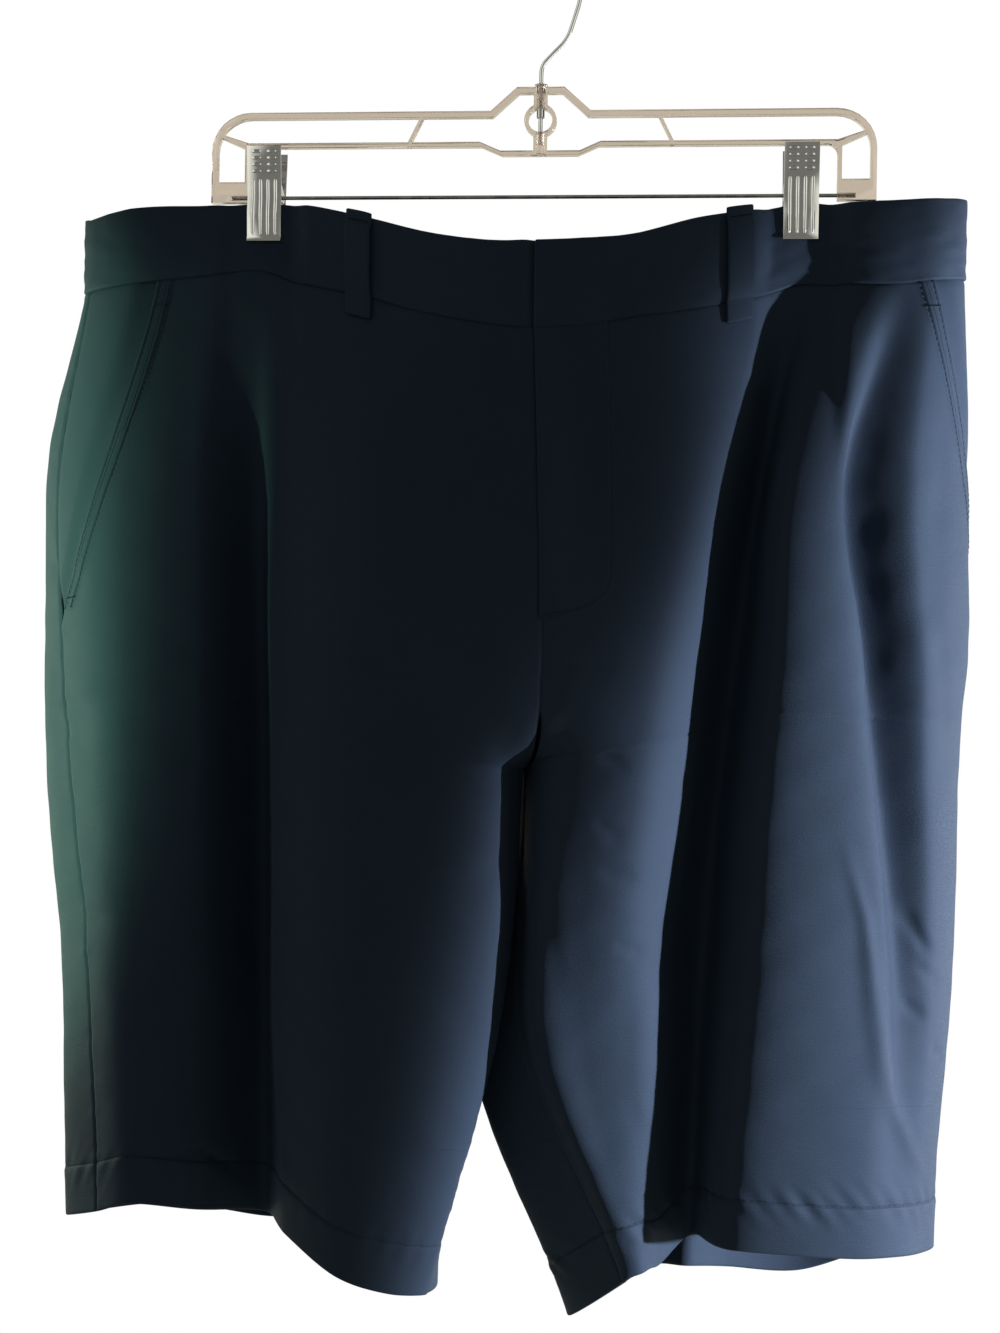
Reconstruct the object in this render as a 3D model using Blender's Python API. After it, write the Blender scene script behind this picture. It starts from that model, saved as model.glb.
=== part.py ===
"""Tailored athletic shorts hanging by two spring clips from a clear moulded hanger.

The origin is the inside top of the hook. +X is to the right of someone who faces the
fly, +Y goes to the back of the garment and +Z up. Sizes below are in millimetres.
"""

import math

import bmesh
import bpy
import numpy as np

MM = 0.001
GAP = 0.3                   # between pieces that meet

# Cloth
CLOTH = 1.4                 # wall of a panel
HEM_CLOTH = 2.2             # of the turned-up hem, two layers thick

# Levels down the cloth, as a share of the way from the waist seam to the hem
WAIST, HIP, RISE, FORK, KNEE, HEM = 0.0, 0.228, 0.385, 0.455, 0.70, 1.0
LEFT_CROTCH = (-3.7, -9)    # the top of each inseam
RIGHT_CROTCH = (-2.3, -9)
CROTCH_HEIGHT = -428.0

# Each row is one fold line or seam down the garment, in order round half of it from the
# centre front to the centre back: its height at the top of the band, at the waist seam
# and at the hem, and its place in plan at each level. The centre rows go down the rise
# seams to the crotch and then down the inseam.
LEFT_FOLDS = (
    # name           top   seam  hem   waist        hip          rise         fork         knee         hem
    ("centre front", -159, -202, -698, (3, -44),    (8, -59),    (9, -59),    LEFT_CROTCH, (-9.5, -33), (-47, -32)),
    ("fly side",     -159, -200, -696, (-20, -43),  (-17, -63),  (-16, -64),  (-7, -43),   (-14, -46),  (-50, -42)),
    ("front mid",    -154, -194, -691, (-52, -37),  (-50, -65),  (-49, -68),  (-46, -66),  (-42, -63),  (-64, -57)),
    ("front crest",  -142, -182, -682, (-92, -24),  (-91, -60),  (-91, -67),  (-91, -68),  (-91, -70),  (-87, -65)),
    ("inner edge",   -133, -173, -667, (-126, -11), (-127, -37), (-127, -42), (-127, -44), (-125, -46), (-119, -44)),
    ("front neck",   -131, -165, -669, (-149, -4),  (-146, -6),  (-145, -4),  (-144, -2),  (-142, 2),   (-140, 5)),
    ("front flank",  -134, -170, -659, (-180, -13), (-174, -36), (-171, -40), (-170, -40), (-168, -38), (-168, -33)),
    ("outer crest",  -138, -176, -652, (-213, -25), (-214, -50), (-210, -55), (-208, -56), (-201, -57), (-198, -53)),
    ("side seam",    -141, -178, -660, (-239, -11), (-250, -27), (-246, -29), (-244, -30), (-228, -39), (-219, -40)),
    ("side fold",    -138, -177, -673, (-244, 3),   (-264, 3),   (-264, 2),   (-263, 0),   (-252, -2),  (-245, -2)),
    ("back outer",   -137, -177, -678, (-214, 27),  (-228, 46),  (-227, 48),  (-226, 49),  (-218, 48),  (-210, 45)),
    ("back flank",   -133, -173, -677, (-180, 13),  (-184, 30),  (-183, 34),  (-181, 36),  (-177, 37),  (-174, 36)),
    ("back neck",    -131, -171, -678, (-149, 4),   (-147, 13),  (-147, 17),  (-146, 19),  (-144, 24),  (-142, 28)),
    ("back edge",    -134, -175, -682, (-124, 12),  (-121, 38),  (-120, 43),  (-119, 45),  (-117, 47),  (-113, 46)),
    ("back crest",   -142, -184, -694, (-96, 25),   (-92, 62),   (-90, 68),   (-88, 68),   (-84, 64),   (-86, 57)),
    ("back mid",     -148, -190, -700, (-62, 38),   (-60, 74),   (-56, 76),   (-48, 66),   (-46, 42),   (-58, 38)),
    ("back inner",   -151, -193, -701, (-44, 42),   (-42, 78),   (-36, 80),   (-16, 36),   (-37, -2),   (-45, -6)),
    ("centre back",  -152, -194, -698, (-24, 44),   (-24, 80),   (-18, 82),   LEFT_CROTCH, (-9.5, -33), (-47, -32)),
)
RIGHT_FOLDS = (
    # name           top   seam  hem   waist        hip          rise         fork         knee         hem
    ("centre front", -159, -202, -686, (3, -44),    (8, -59),    (9, -59),    RIGHT_CROTCH, (-3, -26),   (54, -39)),
    ("fly side",     -158, -201, -682, (25, -43),   (28, -63),   (25, -64),   (13, -50),   (9, -54),    (58, -42)),
    ("front mid",    -155, -196, -680, (50, -38),   (54, -62),   (48, -65),   (40, -64),   (30, -57),   (63, -42)),
    ("front crest",  -144, -189, -679, (84, -26),   (80, -56),   (70, -60),   (64, -61),   (51, -56),   (67, -37)),
    ("inner edge",   -137, -181, -680, (114, -13),  (96, -41),   (85, -43),   (80, -44),   (66, -49),   (72, -26)),
    ("front neck",   -132, -173, -668, (137, -4),   (117, -9),   (107, -10),  (103, -11),  (92, -12),   (87, -13)),
    ("outer edge",   -133, -174, -662, (154, -9),   (130, -52),  (126, -56),  (124, -57),  (116, -59),  (106, -56)),
    ("cone crest",   -134, -175, -664, (176, -18),  (156, -51),  (166, -54),  (169, -55),  (180, -54),  (168, -56)),
    ("soft valley",  -134, -175, -665, (190, -20),  (158, -32),  (168, -34),  (172, -35),  (186, -41),  (190, -46)),
    ("side ridge",   -133, -173, -668, (206, -18),  (195, -38),  (201, -40),  (202, -39),  (206, -36),  (203, -28)),
    ("side fold",    -130, -170, -672, (222, 0),    (226, 0),    (226, 1),    (224, 1),    (221, 1),    (213, 1)),
    ("side seam",    -131, -171, -680, (213, 15),   (210, 27),   (207, 30),   (205, 30),   (203, 31),   (196, 32)),
    ("back outer",   -133, -174, -702, (186, 27),   (168, 54),   (161, 56),   (158, 56),   (156, 54),   (148, 50)),
    ("back flank",   -132, -173, -698, (158, 13),   (134, 38),   (125, 42),   (122, 42),   (116, 42),   (108, 38)),
    ("back neck",    -131, -172, -692, (137, 4),    (115, 12),   (106, 14),   (102, 14),   (92, 15),    (86, 16)),
    ("back edge",    -135, -176, -698, (112, 14),   (92, 44),    (83, 48),    (78, 48),    (66, 46),    (69, 36)),
    ("back crest",   -142, -184, -708, (76, 30),    (58, 70),    (50, 72),    (44, 70),    (34, 58),    (48, 44)),
    ("back mid",     -148, -190, -714, (30, 40),    (22, 78),    (20, 79),    (14, 64),    (-2, 36),    (29, 26)),
    ("back inner",   -151, -193, -716, (0, 43),     (0, 80),     (3, 81),     (-6, 30),    (-31, 4),    (24, -2)),
    ("centre back",  -152, -194, -686, (-24, 44),   (-24, 80),   (-18, 82),   RIGHT_CROTCH, (-3, -26),   (54, -39)),
)
SPAN_STEPS = 2              # mesh columns between neighbouring fold lines
POCKET_STEPS = 3            # and beside a slant pocket
FINE = 12                   # points between neighbouring fold lines that columns are read from
PANEL_ROWS = (
    WAIST, 0.06, 0.12, 0.18, 0.24, 0.30, 0.34, 0.375, 0.405, 0.43, 0.445, 0.452, FORK,
    0.49, 0.55, 0.62, 0.70, 0.78, 0.86, 0.945, 0.95, HEM,
)
HEM_ROW = 0.95              # where the turned-up hem ends
GRIPPED = 4.0               # from the middle plane, of the cloth that a clip holds flat
GRIP_WIDTH = (14.0, 25.0)   # it is flat this near the clip's middle, and free this far away
GRIP_LEVELS = (-0.40, 0.25)

# Waistband: level -1 is its top edge and 0 the waist seam
BAND_ROWS = (-1.0, -0.5, WAIST)
BAND_CLOTH = 3.0            # with its lining and seam turnings
BAND_PROUD = 0.8            # how far it stands out from the panels below it
BAND_RAMP = 12.0            # in which the left half sinks to pass under the right one

# Fly: the right front laps over the left one
FLY_END = 0.30              # level of the bottom of the fly
FLY_LAP = 32.0              # how far the layers under it reach past its edge
FLY_WIDTH = 38.0            # from its edge to its curved row of stitches
FLY_PROUD = 1.0             # the turned-in facing makes the front thicker
SHIELD_SEWN = 10.0          # of the shield behind the left front
LAP_STEPS = 4

# Slant pockets
POCKET_WIDTH = 45.0         # from the side seam to the opening, along the waist seam
POCKET_END = 0.375          # level where the opening meets the side seam
POCKET_CURVE = 2.8
FACING_RISE = 3.0           # past the opening, where the facing starts to come out
FACING_SLOPE = 12.0         # and how long that takes
FACING_LEAST = 6.0          # its width at the bottom of the opening
FACING_STEPS = 7
UNDER = CLOTH + 0.8         # depth of a layer that lies behind a panel

# Belt loops: distance round the band from the centre front, less than 0 to the left
LOOPS = (
    # name              distance
    ("loop_front_right", 108.0),
    ("loop_back_right", 299.0),
    ("loop_centre_back", 507.0),
    ("loop_back_left", -316.0),
    ("loop_front_left", -99.0),
)
LOOP_WIDTH = 14.0
LOOP_CLOTH = 1.6
LOOP_PROFILE = (
    # level   stands off
    (-1.06, 1.6),
    (-0.97, 1.3),
    (-0.85, 3.4),
    (-0.20, 3.4),
    (0.015, 1.3),
    (0.022, 0.5),
)

# Hanger, symmetrical about X = 0
FRAME_DEPTH = 5.0
FRAME_HALF = 176.0
FRAME_TOP = -81.0
TOP_BAR = 3.2
CORNER = 21.0
HUMP_TOP = -68.5
HUMP_HALF = 12.5            # half of the hump's flat top
HUMP_FOOT = 26.5            # where its slopes meet the top bar
LOW_BAR_TOP = -97.3
LOW_BAR = 2.4
DIP_DROP = 4.8              # of the lower bar under the hook
DIP_HALF = 20.0
DIP_FOOT = 31.0
POST_BOTTOM = -129.0
POST = 3.2                  # outer upright at each end
INNER_POST_X = 158.0
INNER_POST = 2.2
BLOCK_TOP = -118.0          # the end blocks hold the rod
RIB = 1.8
CORNER_RIB = (26.0, 32.0)   # it meets the corner between these angles
CORNER_RIB_FOOT = -100.0
SLANT_RIB = (63.0, 69.5)    # its X at the top bar and at the lower bar
RING_HEIGHT = -86.0
RING_OUTER = 8.6
RING_INNER = 6.4
SLEEVE = 3.5                # radius of the two sleeves round the hook's shank
SLEEVES = ((-79.4, -67.0), (-104.0, -93.0))

ROD_HEIGHT = -126.2
ROD_RADIUS = 1.0
ROD_END = 165.0

# Hook
WIRE_RADIUS = 1.15
HOOK_RADIUS = 19.0 + WIRE_RADIUS    # inside radius plus half the wire
HOOK_CENTRE = -19.0
SHANK_END = -99.0
HOOK_BEND = (
    # x     height
    (0.3, -58.5),
    (1.3, -56.0),
    (2.9, -53.9),
    (11.2, -45.3),
    (13.2, -42.5),
    (14.8, -39.3),
    (16.2, -35.0),
    (17.6, -30.5),
    (19.0, -26.0),
)
HOOK_ARC = (-8, 184)        # degrees, from +X towards +Z
COLLAR_RADIUS = 2.1
COLLAR = (-84.5, -80.3)

# Spring clips
CLIPS = (("clip_left", -146.3), ("clip_right", 137.0))
CLIP_WIDTH = 18.2
CLIP_STEEL = 1.1
CLIP_PROFILE = (
    # height   distance from the middle plane of its inner face
    (-100.5, 9.0),
    (-119.0, 6.6),
    (-127.0, 5.4),
    (-135.0, 6.2),
    (-147.5, 5.3),
    (-150.5, 6.6),
)
EAR_RADIUS = 3.0            # of the jaws' ears round the rod
EAR_TOP = -120.0
EAR_ROOT = (6.2, 7.0)       # where an ear is inside its jaw, at its foot and at its top
SPRING_RADIUS = 3.4
SPRING_LENGTH = 12.0

ALL_ROWS = sorted({*BAND_ROWS, *PANEL_ROWS, *(level for level, _ in LOOP_PROFILE)})

CLOTH_COLOR = (0.012, 0.016, 0.030)
PLASTIC_COLOR = (0.86, 0.80, 0.78)
CHROME_COLOR = (0.80, 0.80, 0.80)
STEEL_COLOR = (0.32, 0.31, 0.30)


# ---------------------------------------------------------------- scene and materials

def clear_scene():
    for obj in list(bpy.data.objects):
        bpy.data.objects.remove(obj, do_unlink=True)


def collection(name, hidden=False):
    made = bpy.data.collections.new(name)
    made.hide_render = hidden
    bpy.context.scene.collection.children.link(made)
    return made


def material(name, color, roughness, metallic=0.0, alpha=1.0):
    made = bpy.data.materials.new(name)
    made.use_nodes = True
    shader = made.node_tree.nodes["Principled BSDF"]
    shader.inputs["Base Color"].default_value = (*color, 1.0)
    shader.inputs["Roughness"].default_value = roughness
    shader.inputs["Metallic"].default_value = metallic
    shader.inputs["Alpha"].default_value = alpha
    return made


# ---------------------------------------------------------------- curves through points

def smoothstep(t):
    t = min(max(t, 0.0), 1.0)
    return t * t * (3 - 2 * t)


def hermite(knots, values, slopes, t):
    """Cubic between the two knots that t lies between."""
    i = int(np.clip(np.searchsorted(knots, t) - 1, 0, len(knots) - 2))
    h = knots[i + 1] - knots[i]
    s = (t - knots[i]) / h
    return (
        (1 + 2 * s) * (1 - s) ** 2 * values[i]
        + s * (1 - s) ** 2 * h * slopes[i]
        + s * s * (3 - 2 * s) * values[i + 1]
        + s * s * (s - 1) * h * slopes[i + 1]
    )


def no_overshoot(knots, values, t):
    """Cubic through the values whose slope is level wherever they turn back."""
    values = np.asarray(values, float)
    secants = np.diff(values, axis=0) / np.diff(knots)[:, None]
    slopes = np.array([secants[0], *(secants[1:] + secants[:-1]) / 2, secants[-1]])
    before, after = secants[:-1], secants[1:]
    inner = slopes[1:-1]
    limit = 3 * np.minimum(abs(before), abs(after))
    inner[:] = np.where(before * after <= 0, 0.0, np.clip(inner, -limit, limit))
    return hermite(knots, values, slopes, t)


# ---------------------------------------------------------------- form of the garment

def fold_point(folds, i, level):
    """A point on fold line i, level -1 at the band's top, 0 at its seam and 1 at the hem."""
    _, top, seam, hem, *plan = folds[i]
    if level < WAIST:
        return np.array((*plan[0], seam + (seam - top) * level))
    if i not in (0, 1, len(folds) - 2, len(folds) - 1):
        x, y = no_overshoot((WAIST, HIP, RISE, FORK, KNEE, HEM), plan, level)
        return np.array((x, y, seam + (hem - seam) * level))
    # The rows next to the rise seams curve under the body with them, to the crotch.
    centre = i in (0, len(folds) - 1)
    fork_height = CROTCH_HEIGHT if centre else seam + (hem - seam) * FORK
    if level >= FORK:
        x, y = no_overshoot((FORK, KNEE, HEM), plan[3:], level)
        share = (level - FORK) / (HEM - FORK)
        return np.array((x, y, fork_height + (hem - fork_height) * share))
    x, y = no_overshoot((WAIST, HIP, RISE), plan[:3], min(level, RISE))
    z = seam + (fork_height - seam) * level / FORK
    share = max(level - RISE, 0.0) / (FORK - RISE)
    under = 1 - math.sqrt(1 - share * share)
    return np.array((*(np.array((x, y)) * (1 - under) + np.array(plan[3]) * under), z))


def gripped(points, level):
    """Points near a clip, flat between its jaws."""
    start, end = GRIP_LEVELS
    near, far = GRIP_WIDTH
    held = smoothstep((end - level) / (end - start))
    for point in points:
        away = min(abs(point[0] - x) for _, x in CLIPS)
        share = held * smoothstep((far - away) / (far - near))
        point[1] += (math.copysign(GRIPPED, point[1]) - point[1]) * share
    return points


def ring(folds, level):
    """Points round half of the garment at one level, a smooth curve through its folds."""
    points = [fold_point(folds, i, level) for i in range(len(folds))]
    joined = smoothstep((level - RISE) / (FORK - RISE))
    ends = []
    for centre, inner, far in ((points[0], points[1], points[-2]), (points[-1], points[-2], points[1])):
        mirrored = np.array((2 * centre[0] - inner[0], inner[1], inner[2]))
        ends.append(mirrored * (1 - joined) + far * joined)
    points = np.array([ends[0], *points, ends[1]])
    chords = np.maximum(np.linalg.norm(np.diff(points, axis=0), axis=1), 1e-3)
    knots = np.concatenate(([0.0], np.cumsum(np.sqrt(chords))))
    slopes = np.gradient(points, knots, axis=0)
    places = []
    for i in range(1, len(points) - 2):
        places += [knots[i] + (knots[i + 1] - knots[i]) * k / FINE for k in range(FINE)]
    places.append(knots[-2])
    return gripped(np.array([hermite(knots, points, slopes, t) for t in places]), level)


def unit(vectors):
    return vectors / np.linalg.norm(vectors, axis=-1, keepdims=True)


def arc(points):
    """Distance along a row of points, from its first one."""
    return np.concatenate(([0.0], np.cumsum(np.linalg.norm(np.diff(points, axis=0), axis=1))))


class Half:
    """Half of the garment: a dense ring of points and outward normals for each level."""

    def __init__(self, folds, side):
        self.names = [fold[0] for fold in folds]
        self.last = (len(folds) - 1) * FINE
        grid = np.array([ring(folds, level) for level in ALL_ROWS])
        normals = side * np.cross(np.gradient(grid, axis=1), np.gradient(grid, axis=0))
        self.points = dict(zip(ALL_ROWS, grid))
        self.normals = dict(zip(ALL_ROWS, unit(normals)))

    def column(self, name):
        return self.names.index(name) * FINE

    def column_at(self, level, distance):
        """Column at a distance along the cloth from the centre front."""
        along = arc(self.points[level])
        return np.interp(distance, along, np.arange(len(along)))

    def distance(self, level, column):
        along = arc(self.points[level])
        return np.interp(column, np.arange(len(along)), along)

    def row(self, level, columns, offsets):
        """Points on the cloth at one level, moved out along its normals."""
        made = []
        for column, offset in zip(columns, np.broadcast_to(offsets, len(columns))):
            low = int(min(column, self.last - 1))
            share = column - low
            point = self.points[level][low] * (1 - share) + self.points[level][low + 1] * share
            normal = self.normals[level][low] * (1 - share) + self.normals[level][low + 1] * share
            made.append(point + unit(normal) * offset)
        return made


def share_normals(left, right):
    """Gives the cloth one normal on both sides of each rise seam and each inseam."""
    for level in ALL_ROWS:
        if level < FORK:
            pairs = (((left, 0), (right, 0)), ((left, -1), (right, -1)))
        else:
            pairs = (((left, 0), (left, -1)), ((right, 0), (right, -1)))
        for (one, a), (other, b) in pairs:
            total = unit(one.normals[level][a] + other.normals[level][b])
            if level == FORK:
                total = np.array((0.0, 0.0, -1.0))
            one.normals[level][a] = total
            other.normals[level][b] = total


def pocket_width(level):
    """Distance along the cloth from the side seam to the slant opening."""
    return POCKET_WIDTH * (1 - (min(level, POCKET_END) / POCKET_END) ** POCKET_CURVE)


# ---------------------------------------------------------------- making solids

def add_mesh(name, bm, look, group):
    mesh = bpy.data.meshes.new(name)
    bm.to_mesh(mesh)
    bm.free()
    mesh.materials.append(look)
    mesh.shade_smooth()
    mesh.set_sharp_from_angle(angle=math.radians(40))
    obj = bpy.data.objects.new(name, mesh)
    group.objects.link(obj)
    return obj


def drawn_in(grid, sides=GAP / 2, top=0.0, bottom=0.0):
    """A grid of points with its edges moved inwards, which leaves the gap at a seam."""
    grid = np.array(grid)
    edges = (
        (np.s_[:, 0], np.s_[:, 1], sides),
        (np.s_[:, -1], np.s_[:, -2], sides),
        (np.s_[0], np.s_[1], top),
        (np.s_[-1], np.s_[-2], bottom),
    )
    for edge, beside, by in edges:
        grid[edge] += unit(grid[beside] - grid[edge]) * by
    return grid


def wall(name, outer, inner, look, group):
    """A closed wall, lofted between two grids of points."""
    rows, columns = outer.shape[:2]
    bm = bmesh.new()
    front, back = [[[bm.verts.new(p * MM) for p in row] for row in grid] for grid in (outer, inner)]
    for sheet in (front, back):
        for i in range(rows - 1):
            for j in range(columns - 1):
                bm.faces.new((sheet[i][j], sheet[i][j + 1], sheet[i + 1][j + 1], sheet[i + 1][j]))
    rim = [(0, j) for j in range(columns - 1)]
    rim += [(i, columns - 1) for i in range(rows - 1)]
    rim += [(rows - 1, j) for j in range(columns - 1, 0, -1)]
    rim += [(i, 0) for i in range(rows - 1, 0, -1)]
    for (i, j), (k, m) in zip(rim, rim[1:] + rim[:1]):
        bm.faces.new((front[i][j], front[k][m], back[k][m], back[i][j]))
    bmesh.ops.recalc_face_normals(bm, faces=bm.faces)
    return add_mesh(name, bm, look, group)


def tube(name, points, radius, look, group):
    """A round wire along the points, with closed ends."""
    curve = bpy.data.curves.new(name, "CURVE")
    curve.dimensions = "3D"
    curve.bevel_depth = radius * MM
    curve.bevel_resolution = 2
    curve.use_fill_caps = True
    spline = curve.splines.new("POLY")
    spline.points.add(len(points) - 1)
    for point, place in zip(spline.points, points):
        point.co = (*(c * MM for c in place), 1.0)
    curve.materials.append(look)
    obj = bpy.data.objects.new(name, curve)
    group.objects.link(obj)
    return obj


def as_mesh(obj):
    """Replaces a curve object with a mesh object of the same shape, its caps welded on."""
    bpy.context.view_layer.update()
    mesh = bpy.data.meshes.new_from_object(obj.evaluated_get(bpy.context.evaluated_depsgraph_get()))
    bm = bmesh.new()
    bm.from_mesh(mesh)
    bmesh.ops.remove_doubles(bm, verts=bm.verts, dist=1e-6)
    bmesh.ops.recalc_face_normals(bm, faces=bm.faces)
    bm.to_mesh(mesh)
    bm.free()
    name, matrix, group = obj.name, obj.matrix_world.copy(), obj.users_collection[0]
    bpy.data.objects.remove(obj, do_unlink=True)
    made = bpy.data.objects.new(name, mesh)
    made.matrix_world = matrix
    group.objects.link(made)
    return made


def plate(name, outline, thickness, look, group, turned=(math.pi / 2, 0, 0)):
    """A flat piece inside a closed outline, upright and facing -Y unless it is turned."""
    curve = bpy.data.curves.new(name, "CURVE")
    curve.dimensions = "2D"
    curve.fill_mode = "BOTH"
    curve.extrude = thickness / 2 * MM
    spline = curve.splines.new("POLY")
    spline.points.add(len(outline) - 1)
    spline.use_cyclic_u = True
    for point, (across, up) in zip(spline.points, outline):
        point.co = (across * MM, up * MM, 0.0, 1.0)
    curve.materials.append(look)
    obj = bpy.data.objects.new(name, curve)
    obj.rotation_euler = turned
    group.objects.link(obj)
    return as_mesh(obj)


def cylinder(name, start, axis, length, radius, look, group):
    """A cylinder from a point along +X, +Y or +Z."""
    bm = bmesh.new()
    bmesh.ops.create_cone(
        bm, cap_ends=True, segments=20, radius1=radius * MM, radius2=radius * MM, depth=length * MM
    )
    obj = add_mesh(name, bm, look, group)
    obj.rotation_euler = {"X": (0, math.pi / 2, 0), "Y": (math.pi / 2, 0, 0), "Z": (0, 0, 0)}[axis]
    place = list(start)
    place["XYZ".index(axis)] += length / 2
    obj.location = [c * MM for c in place]
    return obj


def combine(obj, other, operation):
    modifier = obj.modifiers.new(f"{operation} {other.name}", "BOOLEAN")
    modifier.operation = operation
    modifier.object = other


# ---------------------------------------------------------------- garment pieces

def panel_columns(half, level, first, last, pocket):
    """Columns of a panel, on its fold lines and between them, drawn back from a pocket."""
    if not pocket:
        return np.arange(first, last + 1, FINE // SPAN_STEPS, dtype=float)
    start = half.column("front neck") + FINE
    columns = np.arange(first, start, FINE // SPAN_STEPS, dtype=float)
    beside = np.arange(start, last + 1, FINE // POCKET_STEPS, dtype=float)
    near, end = half.distance(level, start), half.distance(level, last)
    reach = (end - pocket_width(level) - near) / (end - near)
    places = near + (half.distance(level, beside) - near) * reach
    return np.concatenate((columns, half.column_at(level, places)))


def panel(name, half, first, last, look, group, pocket=False, fly=False):
    outer, inner = [], []
    for level in PANEL_ROWS:
        columns = panel_columns(half, level, first, last, pocket)
        near_edge = half.distance(level, columns) < FLY_WIDTH
        proud = np.where(near_edge & (fly and level <= FLY_END), FLY_PROUD, 0.0)
        outer.append(half.row(level, columns, proud))
        inner.append(half.row(level, columns, -HEM_CLOTH if level >= HEM_ROW else -CLOTH))
    return wall(name, drawn_in(outer, top=GAP / 2), drawn_in(inner, top=GAP / 2), look, group)


def pocket_facing(name, half, look, group):
    """The side piece behind a slant opening, sewn in at the waist and side seams."""
    outer, inner = [], []
    last = half.column("side seam")
    for level in [level for level in PANEL_ROWS if level <= POCKET_END]:
        seam = half.distance(level, last)
        front = half.distance(level, panel_columns(half, level, 0, last, True))
        start = min(front[-1], seam - FACING_LEAST)
        places = np.array([front[-3], front[-2], *np.linspace(start, seam, FACING_STEPS)])
        clear = [smoothstep((p - front[-1] - FACING_RISE) / FACING_SLOPE) for p in places]
        depth = UNDER * (1 - np.array(clear))
        columns = half.column_at(level, places)
        outer.append(half.row(level, columns, -depth))
        inner.append(half.row(level, columns, -depth - CLOTH))
    return wall(name, drawn_in(outer, top=GAP / 2), drawn_in(inner, top=GAP / 2), look, group)


def lap_row(left, right, level, reach, offset):
    """Points from under the right half to the centre front, then on to the left half."""
    places = np.linspace(FLY_LAP, 0.0, LAP_STEPS)
    points = right.row(level, right.column_at(level, places), offset)
    if reach:
        places = np.linspace(0.0, reach, LAP_STEPS)[1:]
        points += left.row(level, left.column_at(level, places), offset)
    return points


def fly_shield(left, right, look, group):
    """The strip behind the fly's opening, sewn to the left front."""
    rows = [level for level in PANEL_ROWS if level <= FLY_END]
    outer = [lap_row(left, right, level, SHIELD_SEWN, -UNDER) for level in rows]
    inner = [lap_row(left, right, level, SHIELD_SEWN, -UNDER - CLOTH) for level in rows]
    return wall("fly_shield", drawn_in(outer, top=GAP / 2), drawn_in(inner, top=GAP / 2), look, group)


def waistband(name, half, look, group, passes_under=None):
    """Half of the waistband. One half's end goes on under the other half."""
    columns = np.arange(0, half.last + 1, FINE // SPAN_STEPS, dtype=float)
    sheets = []
    for offset in (BAND_PROUD, BAND_PROUD - BAND_CLOTH):
        rows = []
        for level in BAND_ROWS:
            if passes_under:
                columns[0] = half.column_at(level, BAND_RAMP)
                kept = [c for c in columns if c >= columns[0]]
                sunk = offset - BAND_CLOTH - GAP - 0.1
                lap = lap_row(half, passes_under, level, 0.0, sunk)
                rows.append(lap + half.row(level, kept, offset))
            else:
                rows.append(half.row(level, columns, offset))
        sheets.append(drawn_in(rows, bottom=GAP / 2))
    return wall(name, *sheets, look, group)


def belt_loop(name, left, right, distance, look, group):
    """A strip sewn down at both ends, standing clear of the band between them."""
    outer, inner = [], []
    for level, stand in LOOP_PROFILE:
        points = np.concatenate((right.points[level], left.points[level][-2::-1]))
        normals = np.concatenate((right.normals[level], left.normals[level][-2::-1]))
        along = arc(points)
        middle = distance if distance > 0 else along[-1] + distance
        places = middle + np.linspace(-LOOP_WIDTH / 2, LOOP_WIDTH / 2, 4)
        at = np.array([np.interp(places, along, axis) for axis in points.T]).T
        facing = unit(np.array([np.interp(places, along, axis) for axis in normals.T]).T)
        inner.append(at + facing * stand)
        outer.append(at + facing * (stand + LOOP_CLOTH))
    return wall(name, np.array(outer), np.array(inner), look, group)


def build_garment(group):
    cloth = material("navy_cloth", CLOTH_COLOR, 0.75)
    left = Half(LEFT_FOLDS, 1)
    right = Half(RIGHT_FOLDS, -1)
    share_normals(left, right)
    for name, half, fly in (("left", left, False), ("right", right, True)):
        side = half.column("side seam")
        panel(f"front_{name}", half, 0, side, cloth, group, pocket=True, fly=fly)
        panel(f"back_{name}", half, side, half.last, cloth, group)
        pocket_facing(f"pocket_facing_{name}", half, cloth, group)
    fly_shield(left, right, cloth, group)
    waistband("waistband_right", right, cloth, group)
    waistband("waistband_left", left, cloth, group, passes_under=right)
    for name, distance in LOOPS:
        belt_loop(name, left, right, distance, cloth, group)


# ---------------------------------------------------------------- hanger

FACING_X = (math.pi / 2, 0, math.pi / 2)


def arc_points(centre, radius, start, end, steps):
    """Points on a circle in the XZ plane, angles in degrees from +X towards +Z."""
    angles = np.radians(np.linspace(start, end, steps + 1))
    return [(centre[0] + radius * math.cos(a), centre[1] + radius * math.sin(a)) for a in angles]


def mirrored(points):
    return [(-x, z) for x, z in reversed(points)]


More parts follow.
